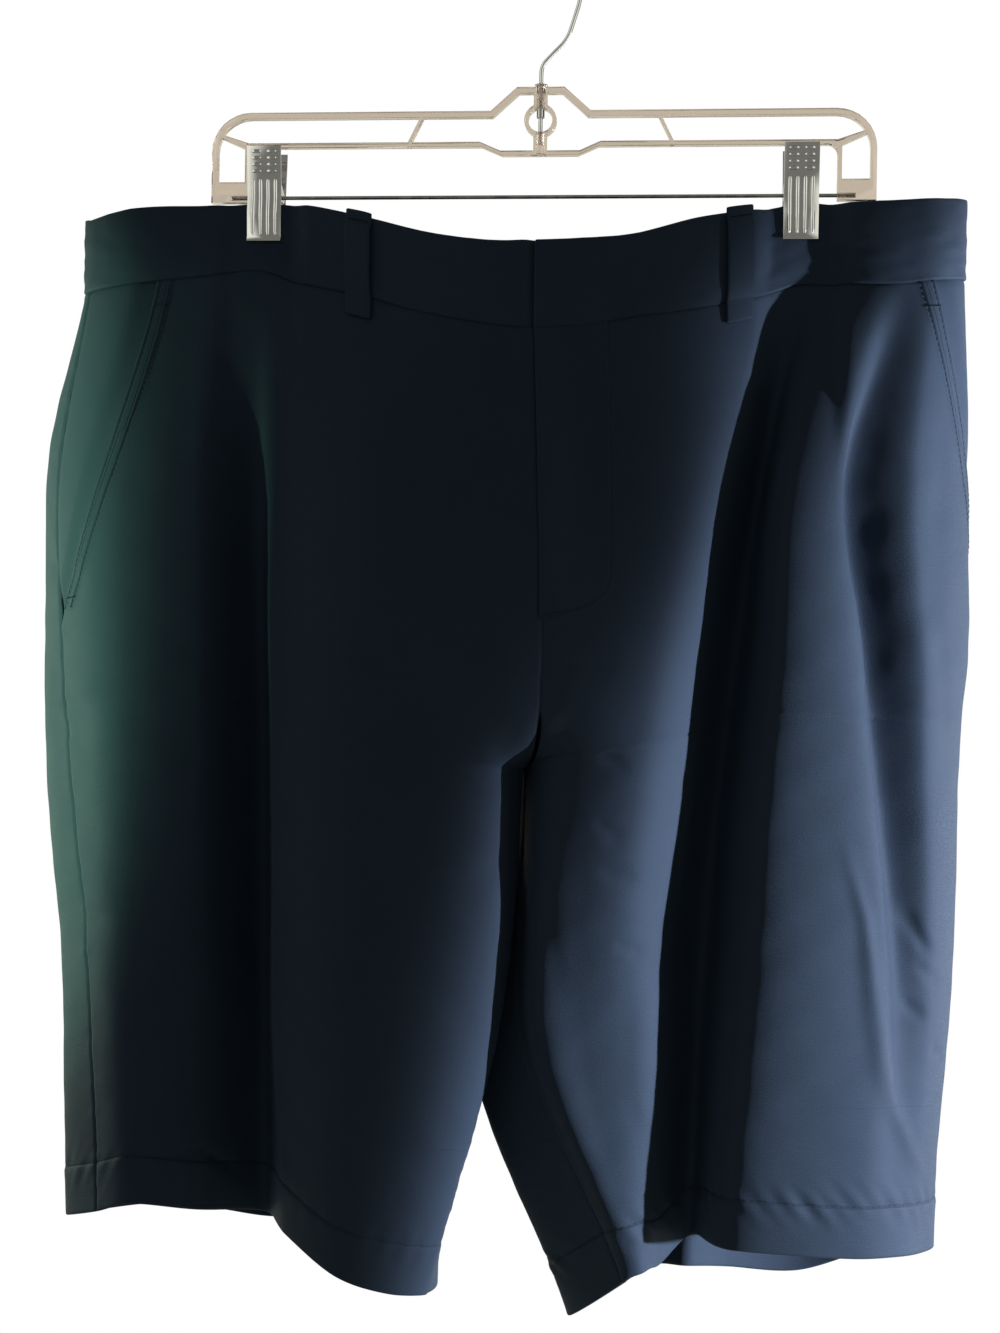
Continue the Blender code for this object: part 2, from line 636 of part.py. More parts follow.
def frame_outlines():
    """The frame's outline and a list of its windows, each drawn on the right and mirrored."""
    low_bottom = LOW_BAR_TOP - LOW_BAR
    top_bottom = FRAME_TOP - TOP_BAR
    outline = [(HUMP_HALF, HUMP_TOP), (HUMP_FOOT, FRAME_TOP)]
    outline += arc_points((FRAME_HALF - CORNER, FRAME_TOP - CORNER), CORNER, 90, 0, 8)
    outline += [(FRAME_HALF, POST_BOTTOM), (INNER_POST_X - INNER_POST, POST_BOTTOM)]
    outline += arc_points((INNER_POST_X - INNER_POST - 5.0, low_bottom - 5.0), 5.0, 0, 90, 4)
    outline += [(DIP_FOOT, low_bottom), (DIP_HALF, low_bottom - DIP_DROP)]
    outline += mirrored(outline)

    inner_corner = CORNER - POST
    corner_centre = (FRAME_HALF - CORNER, FRAME_TOP - CORNER)
    end = [(INNER_POST_X, BLOCK_TOP), (FRAME_HALF - POST, BLOCK_TOP)]
    end += arc_points(corner_centre, inner_corner, 0, CORNER_RIB[0], 2)
    end += [(INNER_POST_X, CORNER_RIB_FOOT)]
    side = arc_points(corner_centre, inner_corner, CORNER_RIB[1], 90, 5)
    side += [(SLANT_RIB[0] + RIB / 2, top_bottom), (SLANT_RIB[1] + RIB / 2, LOW_BAR_TOP)]
    side += [(INNER_POST_X - INNER_POST, LOW_BAR_TOP)]
    start = math.degrees(math.asin((SLEEVE + 0.1) / RING_OUTER))
    middle = [(SLEEVE, HUMP_TOP - TOP_BAR), (HUMP_HALF - 1.0, HUMP_TOP - TOP_BAR)]
    middle += [(HUMP_FOOT - 1.2, top_bottom), (SLANT_RIB[0] - RIB / 2, top_bottom)]
    middle += [(SLANT_RIB[1] - RIB / 2, LOW_BAR_TOP), (DIP_FOOT + 1.0, LOW_BAR_TOP)]
    middle += [(DIP_HALF + 1.0, LOW_BAR_TOP - DIP_DROP), (SLEEVE, LOW_BAR_TOP - DIP_DROP)]
    middle += arc_points((0.0, RING_HEIGHT), RING_OUTER, start - 90, 90 - start, 10)
    ring_hole = arc_points((0.0, RING_HEIGHT), RING_INNER, 0, 345, 23)
    windows = [end, side, middle]
    return outline, [*windows, *(mirrored(window) for window in windows), ring_hole]


def build_hanger(group, cutters, rod_bore):
    plastic = material("clear_plastic", PLASTIC_COLOR, 0.08, alpha=0.35)
    steel = material("hook_steel", STEEL_COLOR, 0.3, metallic=1.0)
    outline, windows = frame_outlines()
    frame = plate("hanger_frame", outline, FRAME_DEPTH, plastic, group)
    for i, window in enumerate(windows):
        opening = plate(f"frame_window_{i}", window, 2 * FRAME_DEPTH, plastic, cutters)
        combine(frame, opening, "DIFFERENCE")
    for i, (low, high) in enumerate(SLEEVES):
        sleeve = cylinder(f"sleeve_{i}", (0, 0, low), "Z", high - low, SLEEVE, plastic, cutters)
        combine(frame, sleeve, "UNION")
    start = SHANK_END - GAP
    wire_bore = cylinder(
        "wire_bore", (0, 0, start), "Z", HOOK_CENTRE - start, WIRE_RADIUS + GAP, plastic, cutters
    )
    combine(frame, wire_bore, "DIFFERENCE")
    combine(frame, rod_bore, "DIFFERENCE")

    cylinder("rod", (-ROD_END, 0, ROD_HEIGHT), "X", 2 * ROD_END, ROD_RADIUS, steel, group)
    low, high = COLLAR
    collar = cylinder("hook_collar", (0, 0, low), "Z", high - low, COLLAR_RADIUS, steel, group)
    combine(collar, wire_bore, "DIFFERENCE")
    wire = [(0.0, SHANK_END), (0.0, HUMP_TOP), *HOOK_BEND]
    wire += arc_points((0.0, HOOK_CENTRE), HOOK_RADIUS, *HOOK_ARC, 26)
    tube("hook", [(x, 0.0, z) for x, z in wire], WIRE_RADIUS, steel, group)


# ---------------------------------------------------------------- clips

def jaw(name, middle, facing, inset, look, group, cutters, rod_bore):
    """A pressed jaw: its lever, its grip below the rod, and an ear round the rod at each side."""
    inner = [(facing * across, height) for height, across in CLIP_PROFILE]
    outer = [(facing * (across + CLIP_STEEL), height) for height, across in reversed(CLIP_PROFILE)]
    made = plate(name, inner + outer, CLIP_WIDTH, look, group, turned=FACING_X)
    made.location.x = middle * MM
    foot, top = EAR_ROOT
    round_end = arc_points((0.0, ROD_HEIGHT), EAR_RADIUS, -90, 90, 8)
    ear = [(facing * -across, height) for across, height in round_end]
    ear += [(facing * top, EAR_TOP), (facing * foot, ROD_HEIGHT - EAR_RADIUS)]
    for side in (-1, 1):
        lug = plate(f"{name}_ear{side}", ear, CLIP_STEEL, look, cutters, turned=FACING_X)
        lug.location.x = (middle + side * (CLIP_WIDTH / 2 - CLIP_STEEL / 2 - inset)) * MM
        combine(made, lug, "UNION")
    combine(made, rod_bore, "DIFFERENCE")


def build_clips(group, cutters, rod_bore):
    chrome = material("clip_chrome", CHROME_COLOR, 0.12, metallic=1.0)
    for name, middle in CLIPS:
        jaw(f"{name}_front", middle, -1, 0.0, chrome, group, cutters, rod_bore)
        jaw(f"{name}_back", middle, 1, CLIP_STEEL + GAP, chrome, group, cutters, rod_bore)
        start = (middle - SPRING_LENGTH / 2, 0, ROD_HEIGHT)
        spring = cylinder(f"{name}_spring", start, "X", SPRING_LENGTH, SPRING_RADIUS, chrome, group)
        combine(spring, rod_bore, "DIFFERENCE")


# ---------------------------------------------------------------- build

clear_scene()
parts = collection("athletic_shorts_on_hanger")
cutters = collection("cutters", hidden=True)
rod_bore = cylinder(
    "rod_bore",
    (-ROD_END - GAP, 0, ROD_HEIGHT),
    "X",
    2 * (ROD_END + GAP),
    ROD_RADIUS + GAP,
    material("cutter", PLASTIC_COLOR, 0.5),
    cutters,
)
build_garment(parts)
build_hanger(parts, cutters, rod_bore)
build_clips(parts, cutters, rod_bore)
for helper in cutters.objects:
    helper.hide_render = True
    helper.display_type = "WIRE"
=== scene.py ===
import math

import bmesh
import bpy
import numpy as np
from mathutils import Matrix, Vector


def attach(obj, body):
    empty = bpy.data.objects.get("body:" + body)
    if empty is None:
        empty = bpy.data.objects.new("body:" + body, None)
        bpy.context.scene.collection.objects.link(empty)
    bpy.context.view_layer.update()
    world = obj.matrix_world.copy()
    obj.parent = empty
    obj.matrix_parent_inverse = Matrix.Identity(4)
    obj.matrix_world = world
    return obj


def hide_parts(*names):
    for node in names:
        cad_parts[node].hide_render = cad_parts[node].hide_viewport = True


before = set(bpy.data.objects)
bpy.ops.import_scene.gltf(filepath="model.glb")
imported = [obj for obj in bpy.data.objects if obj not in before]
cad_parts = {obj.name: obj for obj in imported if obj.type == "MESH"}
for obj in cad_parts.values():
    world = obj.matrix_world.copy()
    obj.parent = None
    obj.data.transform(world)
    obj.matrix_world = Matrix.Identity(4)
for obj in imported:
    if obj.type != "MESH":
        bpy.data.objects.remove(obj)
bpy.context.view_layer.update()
print("model loaded:", len(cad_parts), "solids")


def linked(name, data):
    obj = bpy.data.objects.new(name, data)
    bpy.context.scene.collection.objects.link(obj)
    return obj


def aimed(place, target, turn=0.0):
    # looks from a place at a target, turned by some degrees about its own line of sight
    towards = (Vector(target) - Vector(place)).to_track_quat("-Z", "Y").to_matrix().to_4x4()
    return Matrix.Translation(place) @ towards @ Matrix.Rotation(math.radians(turn), 4, "Z")


# camera, level with the middle of the garment and a little to its right
view = {
    "eye": (0.0745, -1.046, -0.375),
    "target": (-0.017, 0.0, -0.375),
    "lens": 53.5,
    "roll": 0.9,                 # degrees
}
camera = linked("camera", bpy.data.cameras.new("camera"))
bpy.context.scene.camera = camera
camera.data.lens = view["lens"]
camera.data.sensor_width = 36
camera.data.clip_start = 0.05
camera.data.clip_end = 60
camera.matrix_world = aimed(view["eye"], view["target"], view["roll"])


# materials

def linearColour(code):
    # sRGB hex to linear light
    parts = [int(code[i:i + 2], 16) / 255 for i in (1, 3, 5)]
    return (*(c / 12.92 if c <= 0.04045 else ((c + 0.055) / 1.055) ** 2.4 for c in parts), 1.0)


def addNode(tree, kind, values=None, **settings):
    node = tree.nodes.new(kind)
    for name, value in settings.items():
        setattr(node, name, value)
    for key, value in (values or {}).items():
        if isinstance(value, bpy.types.NodeSocket):
            tree.links.new(value, node.inputs[key])
        else:
            node.inputs[key].default_value = value
    return node


def mathOf(tree, operation, *values):
    return addNode(tree, "ShaderNodeMath", dict(enumerate(values)), operation=operation).outputs[0]


def noiseOf(tree, vector, scale, detail, roughness=0.5):
    return addNode(tree, "ShaderNodeTexNoise", {
        "Vector": vector, "Scale": scale, "Detail": detail, "Roughness": roughness}).outputs[0]


def ranged(tree, value, start, end, low=0.0, high=1.0, **settings):
    # goes from low to high while the value goes from start to end
    return addNode(tree, "ShaderNodeMapRange", {
        "Value": value, "From Min": start, "From Max": end, "To Min": low, "To Max": high},
        **settings).outputs[0]


def coloured(tree, shader, share, first, second):
    mixed = addNode(tree, "ShaderNodeMix", {
        0: share, 6: linearColour(first), 7: linearColour(second)}, data_type="RGBA")
    tree.links.new(mixed.outputs[2], shader.inputs["Base Color"])


def bumped(tree, shader, *layers):
    # layers of strength, depth in metres and height, each over the one before
    normal = None
    for strength, depth, height in layers:
        bump = addNode(tree, "ShaderNodeBump", {"Strength": strength, "Distance": depth, "Height": height})
        if normal:
            tree.links.new(normal, bump.inputs["Normal"])
        normal = bump.outputs[0]
    tree.links.new(normal, shader.inputs["Normal"])


def newMaterial(name, shaderValues):
    made = bpy.data.materials.new(name)
    made.use_nodes = True
    tree = made.node_tree
    shader = tree.nodes["Principled BSDF"]
    for key, value in shaderValues.items():
        shader.inputs[key].default_value = value
    return made, tree, shader


clothLook = {
    "dark": "#222c3b",
    "light": "#2d394d",
    "roughness": 0.60,
    "ior": 1.46,
    "specular": 0.16,
    "sheen": 0.05,
    "sheenRoughness": 0.42,
    "sheenTint": "#8096c6",
    "weave": 0.9,                # mm between threads; the real 0.3 mm is too fine to show
    "cloudScale": 22.0,          # soft changes of shade, some 45 mm across
    "cloudShare": 0.35,
    "slubScale": 900.0,          # thick and thin threads, about 1 mm apart
    "slubShare": 0.45,
    "shade": 0.12,               # where the mix from dark to light begins
    "rowGroove": 1.1,            # mm that a row of stitches pulls in on either side
    "weaveBump": (0.22, 0.0002),     # strength, and depth in metres
    "slubBump": (0.35, 0.0003),
    "rowBump": (0.9, 0.0004),
}


def stretchWoven(name, look):
    # woven stretch polyester: matt navy with a soft, slightly blue sheen at grazing angles
    made, tree, shader = newMaterial(name, {
        "Roughness": look["roughness"],
        "IOR": look["ior"],
        "Specular IOR Level": look["specular"],
        "Specular Tint": linearColour(look["sheenTint"]),
        "Sheen Weight": look["sheen"],
        "Sheen Roughness": look["sheenRoughness"],
        "Sheen Tint": linearColour(look["sheenTint"]),
    })
    coords = addNode(tree, "ShaderNodeUVMap", uv_map="clothMap")
    threads = 2 * math.pi * 1000 / look["weave"]
    scaled = addNode(tree, "ShaderNodeVectorMath", {0: coords.outputs[0], 1: (threads, threads, 0)},
                     operation="MULTIPLY")
    split = addNode(tree, "ShaderNodeSeparateXYZ", {0: scaled.outputs[0]}).outputs
    warp = mathOf(tree, "SINE", split[0])
    weft = mathOf(tree, "SINE", mathOf(tree, "ADD", split[0], split[1]))
    weave = mathOf(tree, "MULTIPLY", warp, weft)
    place = addNode(tree, "ShaderNodeTexCoord").outputs["Object"]
    clouds = noiseOf(tree, place, look["cloudScale"], 3.0, 0.55)
    slubs = noiseOf(tree, coords.outputs[0], look["slubScale"], 2.0, 0.6)
    mottle = mathOf(tree, "MULTIPLY_ADD", slubs, look["slubShare"], look["shade"])
    tone = mathOf(tree, "MULTIPLY_ADD", clouds, look["cloudShare"], mottle)
    coloured(tree, shader, tone, look["dark"], look["light"])

    # the distance from a row of stitches is stored on the mesh, in mm
    row = addNode(tree, "ShaderNodeAttribute", attribute_name="rowDistance")
    groove = ranged(tree, mathOf(tree, "ABSOLUTE", row.outputs["Fac"]), 0.0, look["rowGroove"],
                    interpolation_type="SMOOTHSTEP")
    bumped(tree, shader, (*look["weaveBump"], weave), (*look["slubBump"], slubs), (*look["rowBump"], groove))
    return made


threadLook = {
    "dark": "#121824",
    "light": "#222b3a",
    "roughness": 0.50,
    "specular": 0.12,
    "sheen": 0.05,
    "twistScale": 900.0,         # a turn of the ply about every 0.7 mm
    "twistBump": (0.4, 0.0001),      # strength, and depth in metres
}


def spunThread(name, look):
    # polyester sewing thread, a shade darker than the cloth and a little smoother
    made, tree, shader = newMaterial(name, {
        "Roughness": look["roughness"], "Specular IOR Level": look["specular"],
        "Sheen Weight": look["sheen"], "Sheen Roughness": 0.3})
    place = addNode(tree, "ShaderNodeTexCoord")
    twist = addNode(tree, "ShaderNodeTexWave", {
        "Vector": place.outputs["Object"], "Scale": look["twistScale"], "Distortion": 2.0},
        bands_direction="DIAGONAL")
    coloured(tree, shader, twist.outputs[1], look["dark"], look["light"])
    bumped(tree, shader, (*look["twistBump"], twist.outputs[1]))
    return made


plasticLook = {
    "colour": "#ddd0ca",
    "ior": 1.59,
    "coat": 0.3,
    "coatRoughness": 0.03,
    "flowScale": 55.0,           # flow marks of the mould, some 20 mm across
    "flowBump": (0.15, 0.0006),      # strength, and depth in metres
    "polished": 0.02,            # roughness where it is clearest, and where it is hazy
    "hazy": 0.13,
}


def clearMoulding(name, look):
    # injection-moulded clear polystyrene: polished, faintly warm where it is thick
    made, tree, shader = newMaterial(name, {
        "Base Color": linearColour(look["colour"]), "IOR": look["ior"], "Transmission Weight": 1.0,
        "Coat Weight": look["coat"], "Coat Roughness": look["coatRoughness"]})
    place = addNode(tree, "ShaderNodeTexCoord").outputs["Object"]
    flow = noiseOf(tree, place, look["flowScale"], 2.0)
    haze = ranged(tree, flow, 0.35, 0.75, look["polished"], look["hazy"])
    tree.links.new(haze, shader.inputs["Roughness"])
    bumped(tree, shader, (*look["flowBump"], flow))
    return made


platedLook = {
    "smudged": "#b9bcc2",        # mixed into each plating's own colour by its smudges
    "smudgeScale": 120.0,        # finger marks, some 8 mm across
    "scratchScale": 2600.0,      # fine lines, about 0.4 mm apart
    "scratchDepth": 0.00005,     # metres
    "drawn": 0.08,               # how much slower they change down the piece than across it
}


def platedSteel(name, code, roughness, scratch, look=platedLook):
    # nickel-chrome plate over pressed or drawn steel: mirror-like, with fine handling scratches
    made, tree, shader = newMaterial(name, {"Metallic": 1.0})
    place = addNode(tree, "ShaderNodeTexCoord").outputs["Object"]
    drawn = addNode(tree, "ShaderNodeMapping", {"Vector": place, "Scale": (1.0, 1.0, look["drawn"])})
    scratches = noiseOf(tree, drawn.outputs[0], look["scratchScale"], 3.0)
    smudges = noiseOf(tree, place, look["smudgeScale"], 2.0)
    rough = ranged(tree, smudges, 0.3, 0.8, roughness * 0.7, roughness * 1.8)
    tree.links.new(rough, shader.inputs["Roughness"])
    coloured(tree, shader, smudges, code, look["smudged"])
    bumped(tree, shader, (scratch, look["scratchDepth"], scratches))
    return made


clothMaterial = stretchWoven("wovenStretchPolyester", clothLook)
threadMaterial = spunThread("spunPolyesterThread", threadLook)
plasticMaterial = clearMoulding("mouldedClearPolystyrene", plasticLook)
chromeMaterial = platedSteel("nickelPlatedPressedSteel", "#d4d6da", 0.10, 0.25)
wireMaterial = platedSteel("platedDrawnSteelWire", "#77797d", 0.22, 0.35)
hookMaterial = platedSteel("brightPlatedSpringWire", "#cfd2d6", 0.12, 0.25)
collarMaterial = platedSteel("platedTurnedSteel", "#a9abae", 0.20, 0.3)
print("materials made")


# form of the garment: fold lines down the cloth, as on the solids. Each has its heights at the band's top,
# the waist seam and the hem, then its place (x, y) at six levels, all in mm

waist, hip, rise, fork, knee, hem = 0.0, 0.228, 0.385, 0.455, 0.70, 1.0
leftCrotch, rightCrotch, crotchHeight = (-3.7, -9), (-2.3, -9), -428.0
leftFolds = (
    # name           top   seam  hem   waist        hip          rise         fork         knee         hem
    ("centre front", -159, -202, -698, (3, -44),    (8, -59),    (9, -59),    leftCrotch,  (-9.5, -33), (-47, -32)),
    ("fly side",     -159, -200, -696, (-20, -43),  (-17, -63),  (-16, -64),  (-7, -43),   (-14, -46),  (-50, -42)),
    ("front mid",    -154, -194, -691, (-52, -37),  (-50, -65),  (-49, -68),  (-46, -66),  (-42, -63),  (-64, -57)),
    ("front crest",  -142, -182, -682, (-92, -24),  (-91, -60),  (-91, -67),  (-91, -68),  (-91, -70),  (-87, -65)),
    ("inner edge",   -133, -173, -667, (-126, -11), (-127, -37), (-127, -42), (-127, -44), (-125, -46), (-119, -44)),
    ("front neck",   -131, -165, -669, (-149, -4),  (-146, -6),  (-145, -4),  (-144, -2),  (-142, 2),   (-140, 5)),
    ("front flank",  -134, -170, -659, (-180, -13), (-174, -36), (-171, -40), (-170, -40), (-168, -38), (-168, -33)),
    ("outer crest",  -138, -176, -652, (-213, -25), (-214, -50), (-210, -55), (-208, -56), (-201, -57), (-198, -53)),
    ("side seam",    -141, -178, -660, (-239, -11), (-250, -27), (-246, -29), (-244, -30), (-228, -39), (-219, -40)),
    ("side fold",    -138, -177, -673, (-244, 3),   (-264, 3),   (-264, 2),   (-263, 0),   (-252, -2),  (-245, -2)),
    ("back outer",   -137, -177, -678, (-214, 27),  (-228, 46),  (-227, 48),  (-226, 49),  (-218, 48),  (-210, 45)),
    ("back flank",   -133, -173, -677, (-180, 13),  (-184, 30),  (-183, 34),  (-181, 36),  (-177, 37),  (-174, 36)),
    ("back neck",    -131, -171, -678, (-149, 4),   (-147, 13),  (-147, 17),  (-146, 19),  (-144, 24),  (-142, 28)),
    ("back edge",    -134, -175, -682, (-124, 12),  (-121, 38),  (-120, 43),  (-119, 45),  (-117, 47),  (-113, 46)),
    ("back crest",   -142, -184, -694, (-96, 25),   (-92, 62),   (-90, 68),   (-88, 68),   (-84, 64),   (-86, 57)),
    ("back mid",     -148, -190, -700, (-62, 38),   (-60, 74),   (-56, 76),   (-48, 66),   (-46, 42),   (-58, 38)),
    ("back inner",   -151, -193, -701, (-44, 42),   (-42, 78),   (-36, 80),   (-16, 36),   (-37, -2),   (-45, -6)),
    ("centre back",  -152, -194, -698, (-24, 44),   (-24, 80),   (-18, 82),   leftCrotch,  (-9.5, -33), (-47, -32)),
)
rightFolds = (
    # name           top   seam  hem   waist       hip         rise        fork         knee        hem
    ("centre front", -159, -202, -686, (3, -44),   (8, -59),   (9, -59),   rightCrotch, (-3, -26),  (54, -39)),
    ("fly side",     -158, -201, -682, (25, -43),  (28, -63),  (25, -64),  (13, -50),   (9, -54),   (58, -42)),
    ("front mid",    -155, -196, -680, (50, -38),  (54, -62),  (48, -65),  (40, -64),   (30, -57),  (63, -42)),
    ("front crest",  -144, -189, -679, (84, -26),  (80, -56),  (70, -60),  (64, -61),   (51, -56),  (67, -37)),
    ("inner edge",   -137, -181, -680, (114, -13), (96, -41),  (85, -43),  (80, -44),   (66, -49),  (72, -26)),
    ("front neck",   -132, -173, -668, (137, -4),  (117, -9),  (107, -10), (103, -11),  (92, -12),  (87, -13)),
    ("outer edge",   -133, -174, -662, (154, -9),  (130, -52), (126, -56), (124, -57),  (116, -59), (106, -56)),
    ("cone crest",   -134, -175, -664, (176, -18), (156, -51), (166, -54), (169, -55),  (180, -54), (168, -56)),
    ("soft valley",  -134, -175, -665, (190, -20), (158, -32), (168, -34), (172, -35),  (186, -41), (190, -46)),
    ("side ridge",   -133, -173, -668, (206, -18), (195, -38), (201, -40), (202, -39),  (206, -36), (203, -28)),
    ("side fold",    -130, -170, -672, (222, 0),   (226, 0),   (226, 1),   (224, 1),    (221, 1),   (213, 1)),
    ("side seam",    -131, -171, -680, (213, 15),  (210, 27),  (207, 30),  (205, 30),   (203, 31),  (196, 32)),
    ("back outer",   -133, -174, -702, (186, 27),  (168, 54),  (161, 56),  (158, 56),   (156, 54),  (148, 50)),
    ("back flank",   -132, -173, -698, (158, 13),  (134, 38),  (125, 42),  (122, 42),   (116, 42),  (108, 38)),
    ("back neck",    -131, -172, -692, (137, 4),   (115, 12),  (106, 14),  (102, 14),   (92, 15),   (86, 16)),
    ("back edge",    -135, -176, -698, (112, 14),  (92, 44),   (83, 48),   (78, 48),    (66, 46),   (69, 36)),
    ("back crest",   -142, -184, -708, (76, 30),   (58, 70),   (50, 72),   (44, 70),    (34, 58),   (48, 44)),
    ("back mid",     -148, -190, -714, (30, 40),   (22, 78),   (20, 79),   (14, 64),    (-2, 36),   (29, 26)),
    ("back inner",   -151, -193, -716, (0, 43),    (0, 80),    (3, 81),    (-6, 30),    (-31, 4),   (24, -2)),
    ("centre back",  -152, -194, -686, (-24, 44),  (-24, 80),  (-18, 82),  rightCrotch, (-3, -26),  (54, -39)),
)
clipPlaces = {"clip_left": -146.3, "clip_right": 137.0}
grip = {
    "flat": 14.0,                # mm from a clip's middle to where it pinches the cloth flat
    "free": 25.0,                # and to where the cloth is free again
    "depth": 4.0,                # half of the gap between front and back cloth there
    "from": -0.40,               # the levels over which it lets go
    "to": 0.25,
}


def smoothStep(t):
    t = np.clip(t, 0.0, 1.0)
    return t * t * (3 - 2 * t)


def hermite(h, s, a, b, slopeA, slopeB):
    return ((1 + 2 * s) * (1 - s) ** 2 * a + s * (1 - s) ** 2 * h * slopeA
            + s * s * (3 - 2 * s) * b + s * s * (s - 1) * h * slopeB)


def throughLevels(knots, values, t):
    # a cubic through the values that levels out wherever they turn back
    values = np.asarray(values, float)
    secants = np.diff(values, axis=0) / np.diff(knots)[:, None]
    slopes = np.array([secants[0], *(secants[1:] + secants[:-1]) / 2, secants[-1]])
    limit = 3 * np.minimum(abs(secants[:-1]), abs(secants[1:]))
    turned = secants[:-1] * secants[1:] <= 0
    slopes[1:-1] = np.where(turned, 0.0, np.clip(slopes[1:-1], -limit, limit))
    i = int(np.clip(np.searchsorted(knots, t) - 1, 0, len(knots) - 2))
    h = knots[i + 1] - knots[i]
    return hermite(h, (t - knots[i]) / h, values[i], values[i + 1], slopes[i], slopes[i + 1])


def foldPoint(folds, i, level):
    # level -1 is the top of the band, 0 the waist seam and 1 the hem
    top, seam, low = folds[i][1:4]
    plan = folds[i][4:]
    if level < waist:
        return np.array((*plan[0], seam + (seam - top) * level))
    if i not in (0, 1, len(folds) - 2, len(folds) - 1):
        x, y = throughLevels((waist, hip, rise, fork, knee, hem), plan, level)
        return np.array((x, y, seam + (low - seam) * level))
    # the rows beside the rise seams curve under the body with them
    centre = i in (0, len(folds) - 1)
    forkHeight = crotchHeight if centre else seam + (low - seam) * fork
    if level >= fork:
        x, y = throughLevels((fork, knee, hem), plan[3:], level)
        return np.array((x, y, forkHeight + (low - forkHeight) * (level - fork) / (hem - fork)))
    x, y = throughLevels((waist, hip, rise), plan[:3], min(level, rise))
    share = max(level - rise, 0.0) / (fork - rise)
    under = 1 - math.sqrt(1 - share * share)
    x, y = np.array((x, y)) * (1 - under) + np.array(plan[3]) * under
    return np.array((x, y, seam + (forkHeight - seam) * level / fork))


def ringCurve(folds, level):
    # the fold lines' points at one level, as a curve that runs on into the other half, or below the fork
    # round its own leg
    points = [foldPoint(folds, i, level) for i in range(len(folds))]
    joined = smoothStep((level - rise) / (fork - rise))
    ends = []
    for centre, inner, far in ((points[0], points[1], points[-2]), (points[-1], points[-2], points[1])):
        opposite = np.array((2 * centre[0] - inner[0], inner[1], inner[2]))
        ends.append(opposite * (1 - joined) + far * joined)
    points = np.array([ends[0], *points, ends[1]])
    chords = np.maximum(np.linalg.norm(np.diff(points, axis=0), axis=1), 1e-3)
    knots = np.concatenate(([0.0], np.cumsum(np.sqrt(chords))))
    return knots, points, np.gradient(points, knots, axis=0)


def onRing(curve, level, places):
    # places count the fold lines: 2.5 is midway between the third and the fourth
    knots, points, slopes = curve
    i = np.clip(np.floor(places).astype(int), 0, len(points) - 4)
    s = (places - i)[:, None]
    i = i + 1
    h = (knots[i + 1] - knots[i])[:, None]
    found = hermite(h, s, points[i], points[i + 1], slopes[i], slopes[i + 1])
    away = np.min([abs(found[:, 0] - x) for x in clipPlaces.values()], axis=0)
    held = smoothStep((grip["to"] - level) / (grip["to"] - grip["from"]))
    share = held * smoothStep((grip["free"] - away) / (grip["free"] - grip["flat"]))
    found[:, 1] += (np.copysign(grip["depth"], found[:, 1]) - found[:, 1]) * share
    return found


halves = {                                   # rows keeps each level's curve once it is measured
    "left": {"folds": leftFolds, "side": 1, "rows": {}},
    "right": {"folds": rightFolds, "side": -1, "rows": {}},
}
panelLength, bandHeight = 500.0, 43.0        # mm, seam to hem and the band
perFold = 24                                 # places measured from one fold line to the next


def clothRow(half, level):
    # the curve at one level, with the distance along the cloth of each place on it
    key = round(float(level), 5)
    if key not in half["rows"]:
        curve = ringCurve(half["folds"], level)
        count = len(half["folds"]) - 1
        places = np.linspace(0, count, perFold * count + 1)
        steps = np.linalg.norm(np.diff(onRing(curve, level, places), axis=0), axis=1)
        half["rows"][key] = (curve, places, np.concatenate(([0.0], np.cumsum(steps))))
    return half["rows"][key]


def foldDistance(half, level, place):
    curve, places, along = clothRow(half, level)
    if isinstance(place, str):
        place = [fold[0] for fold in half["folds"]].index(place)
    return float(np.interp(place, places, along))


def down(level):
    return level * (panelLength if level >= 0 else bandHeight)


def patch(half, levels, distances):
    # points, outward normals and mm along and down the cloth, one row for each level
    stepAlong, stepDown = 0.03, 0.004        # a fold place and a level to either side give the normal
    points, normals = [], []
    for level, row in zip(levels, distances):
        curve, places, along = clothRow(half, level)
        lap = np.where(row < 0, row / max(along[perFold], 1e-6), 0.0)     # what goes past the centre front
        at = np.interp(row, along, places) + lap
        sideways = onRing(curve, level, at + stepAlong) - onRing(curve, level, at - stepAlong)
        below, above = (onRing(clothRow(half, v)[0], v, at) for v in (level + stepDown, level - stepDown))
        normal = half["side"] * np.cross(sideways, below - above)
        points.append(onRing(curve, level, at))
        normals.append(normal / np.linalg.norm(normal, axis=1, keepdims=True))
    return {"points": np.array(points), "normals": np.array(normals), "along": np.array(distances),
            "down": np.array([[down(v)] * len(distances[0]) for v in levels]), "levels": np.array(levels)}


def rippleMaker(seed, count, shortest, longest):
    # smooth uneven noise in mm: waves of mixed lengths and directions
    rng = np.random.default_rng(seed)
    lengths = rng.uniform(shortest, longest, count)
    angles = rng.uniform(0, math.pi, count)
    phases = rng.uniform(0, 2 * math.pi, count)

    def ripple(x, y):
        total = 0.0
        for length, angle, phase in zip(lengths, angles, phases):
            total = total + np.sin((x * math.cos(angle) + y * math.sin(angle)) * 2 * math.pi / length + phase)
        return total / math.sqrt(count)
    return ripple


broadRipple = rippleMaker(3, 7, 60, 150)
fineRipple = rippleMaker(8, 9, 16, 38)
puckerRipple = rippleMaker(21, 8, 6, 15)


def swell(size, away):
    # size is a height and the width over which it fades out on either side
    return size[0] * np.exp(-(away / size[1]) ** 2)


def stepUp(size, past):
    # size is a height and the width over which the cloth rises to it
    return size[0] * smoothStep(past / size[1] + 0.5)


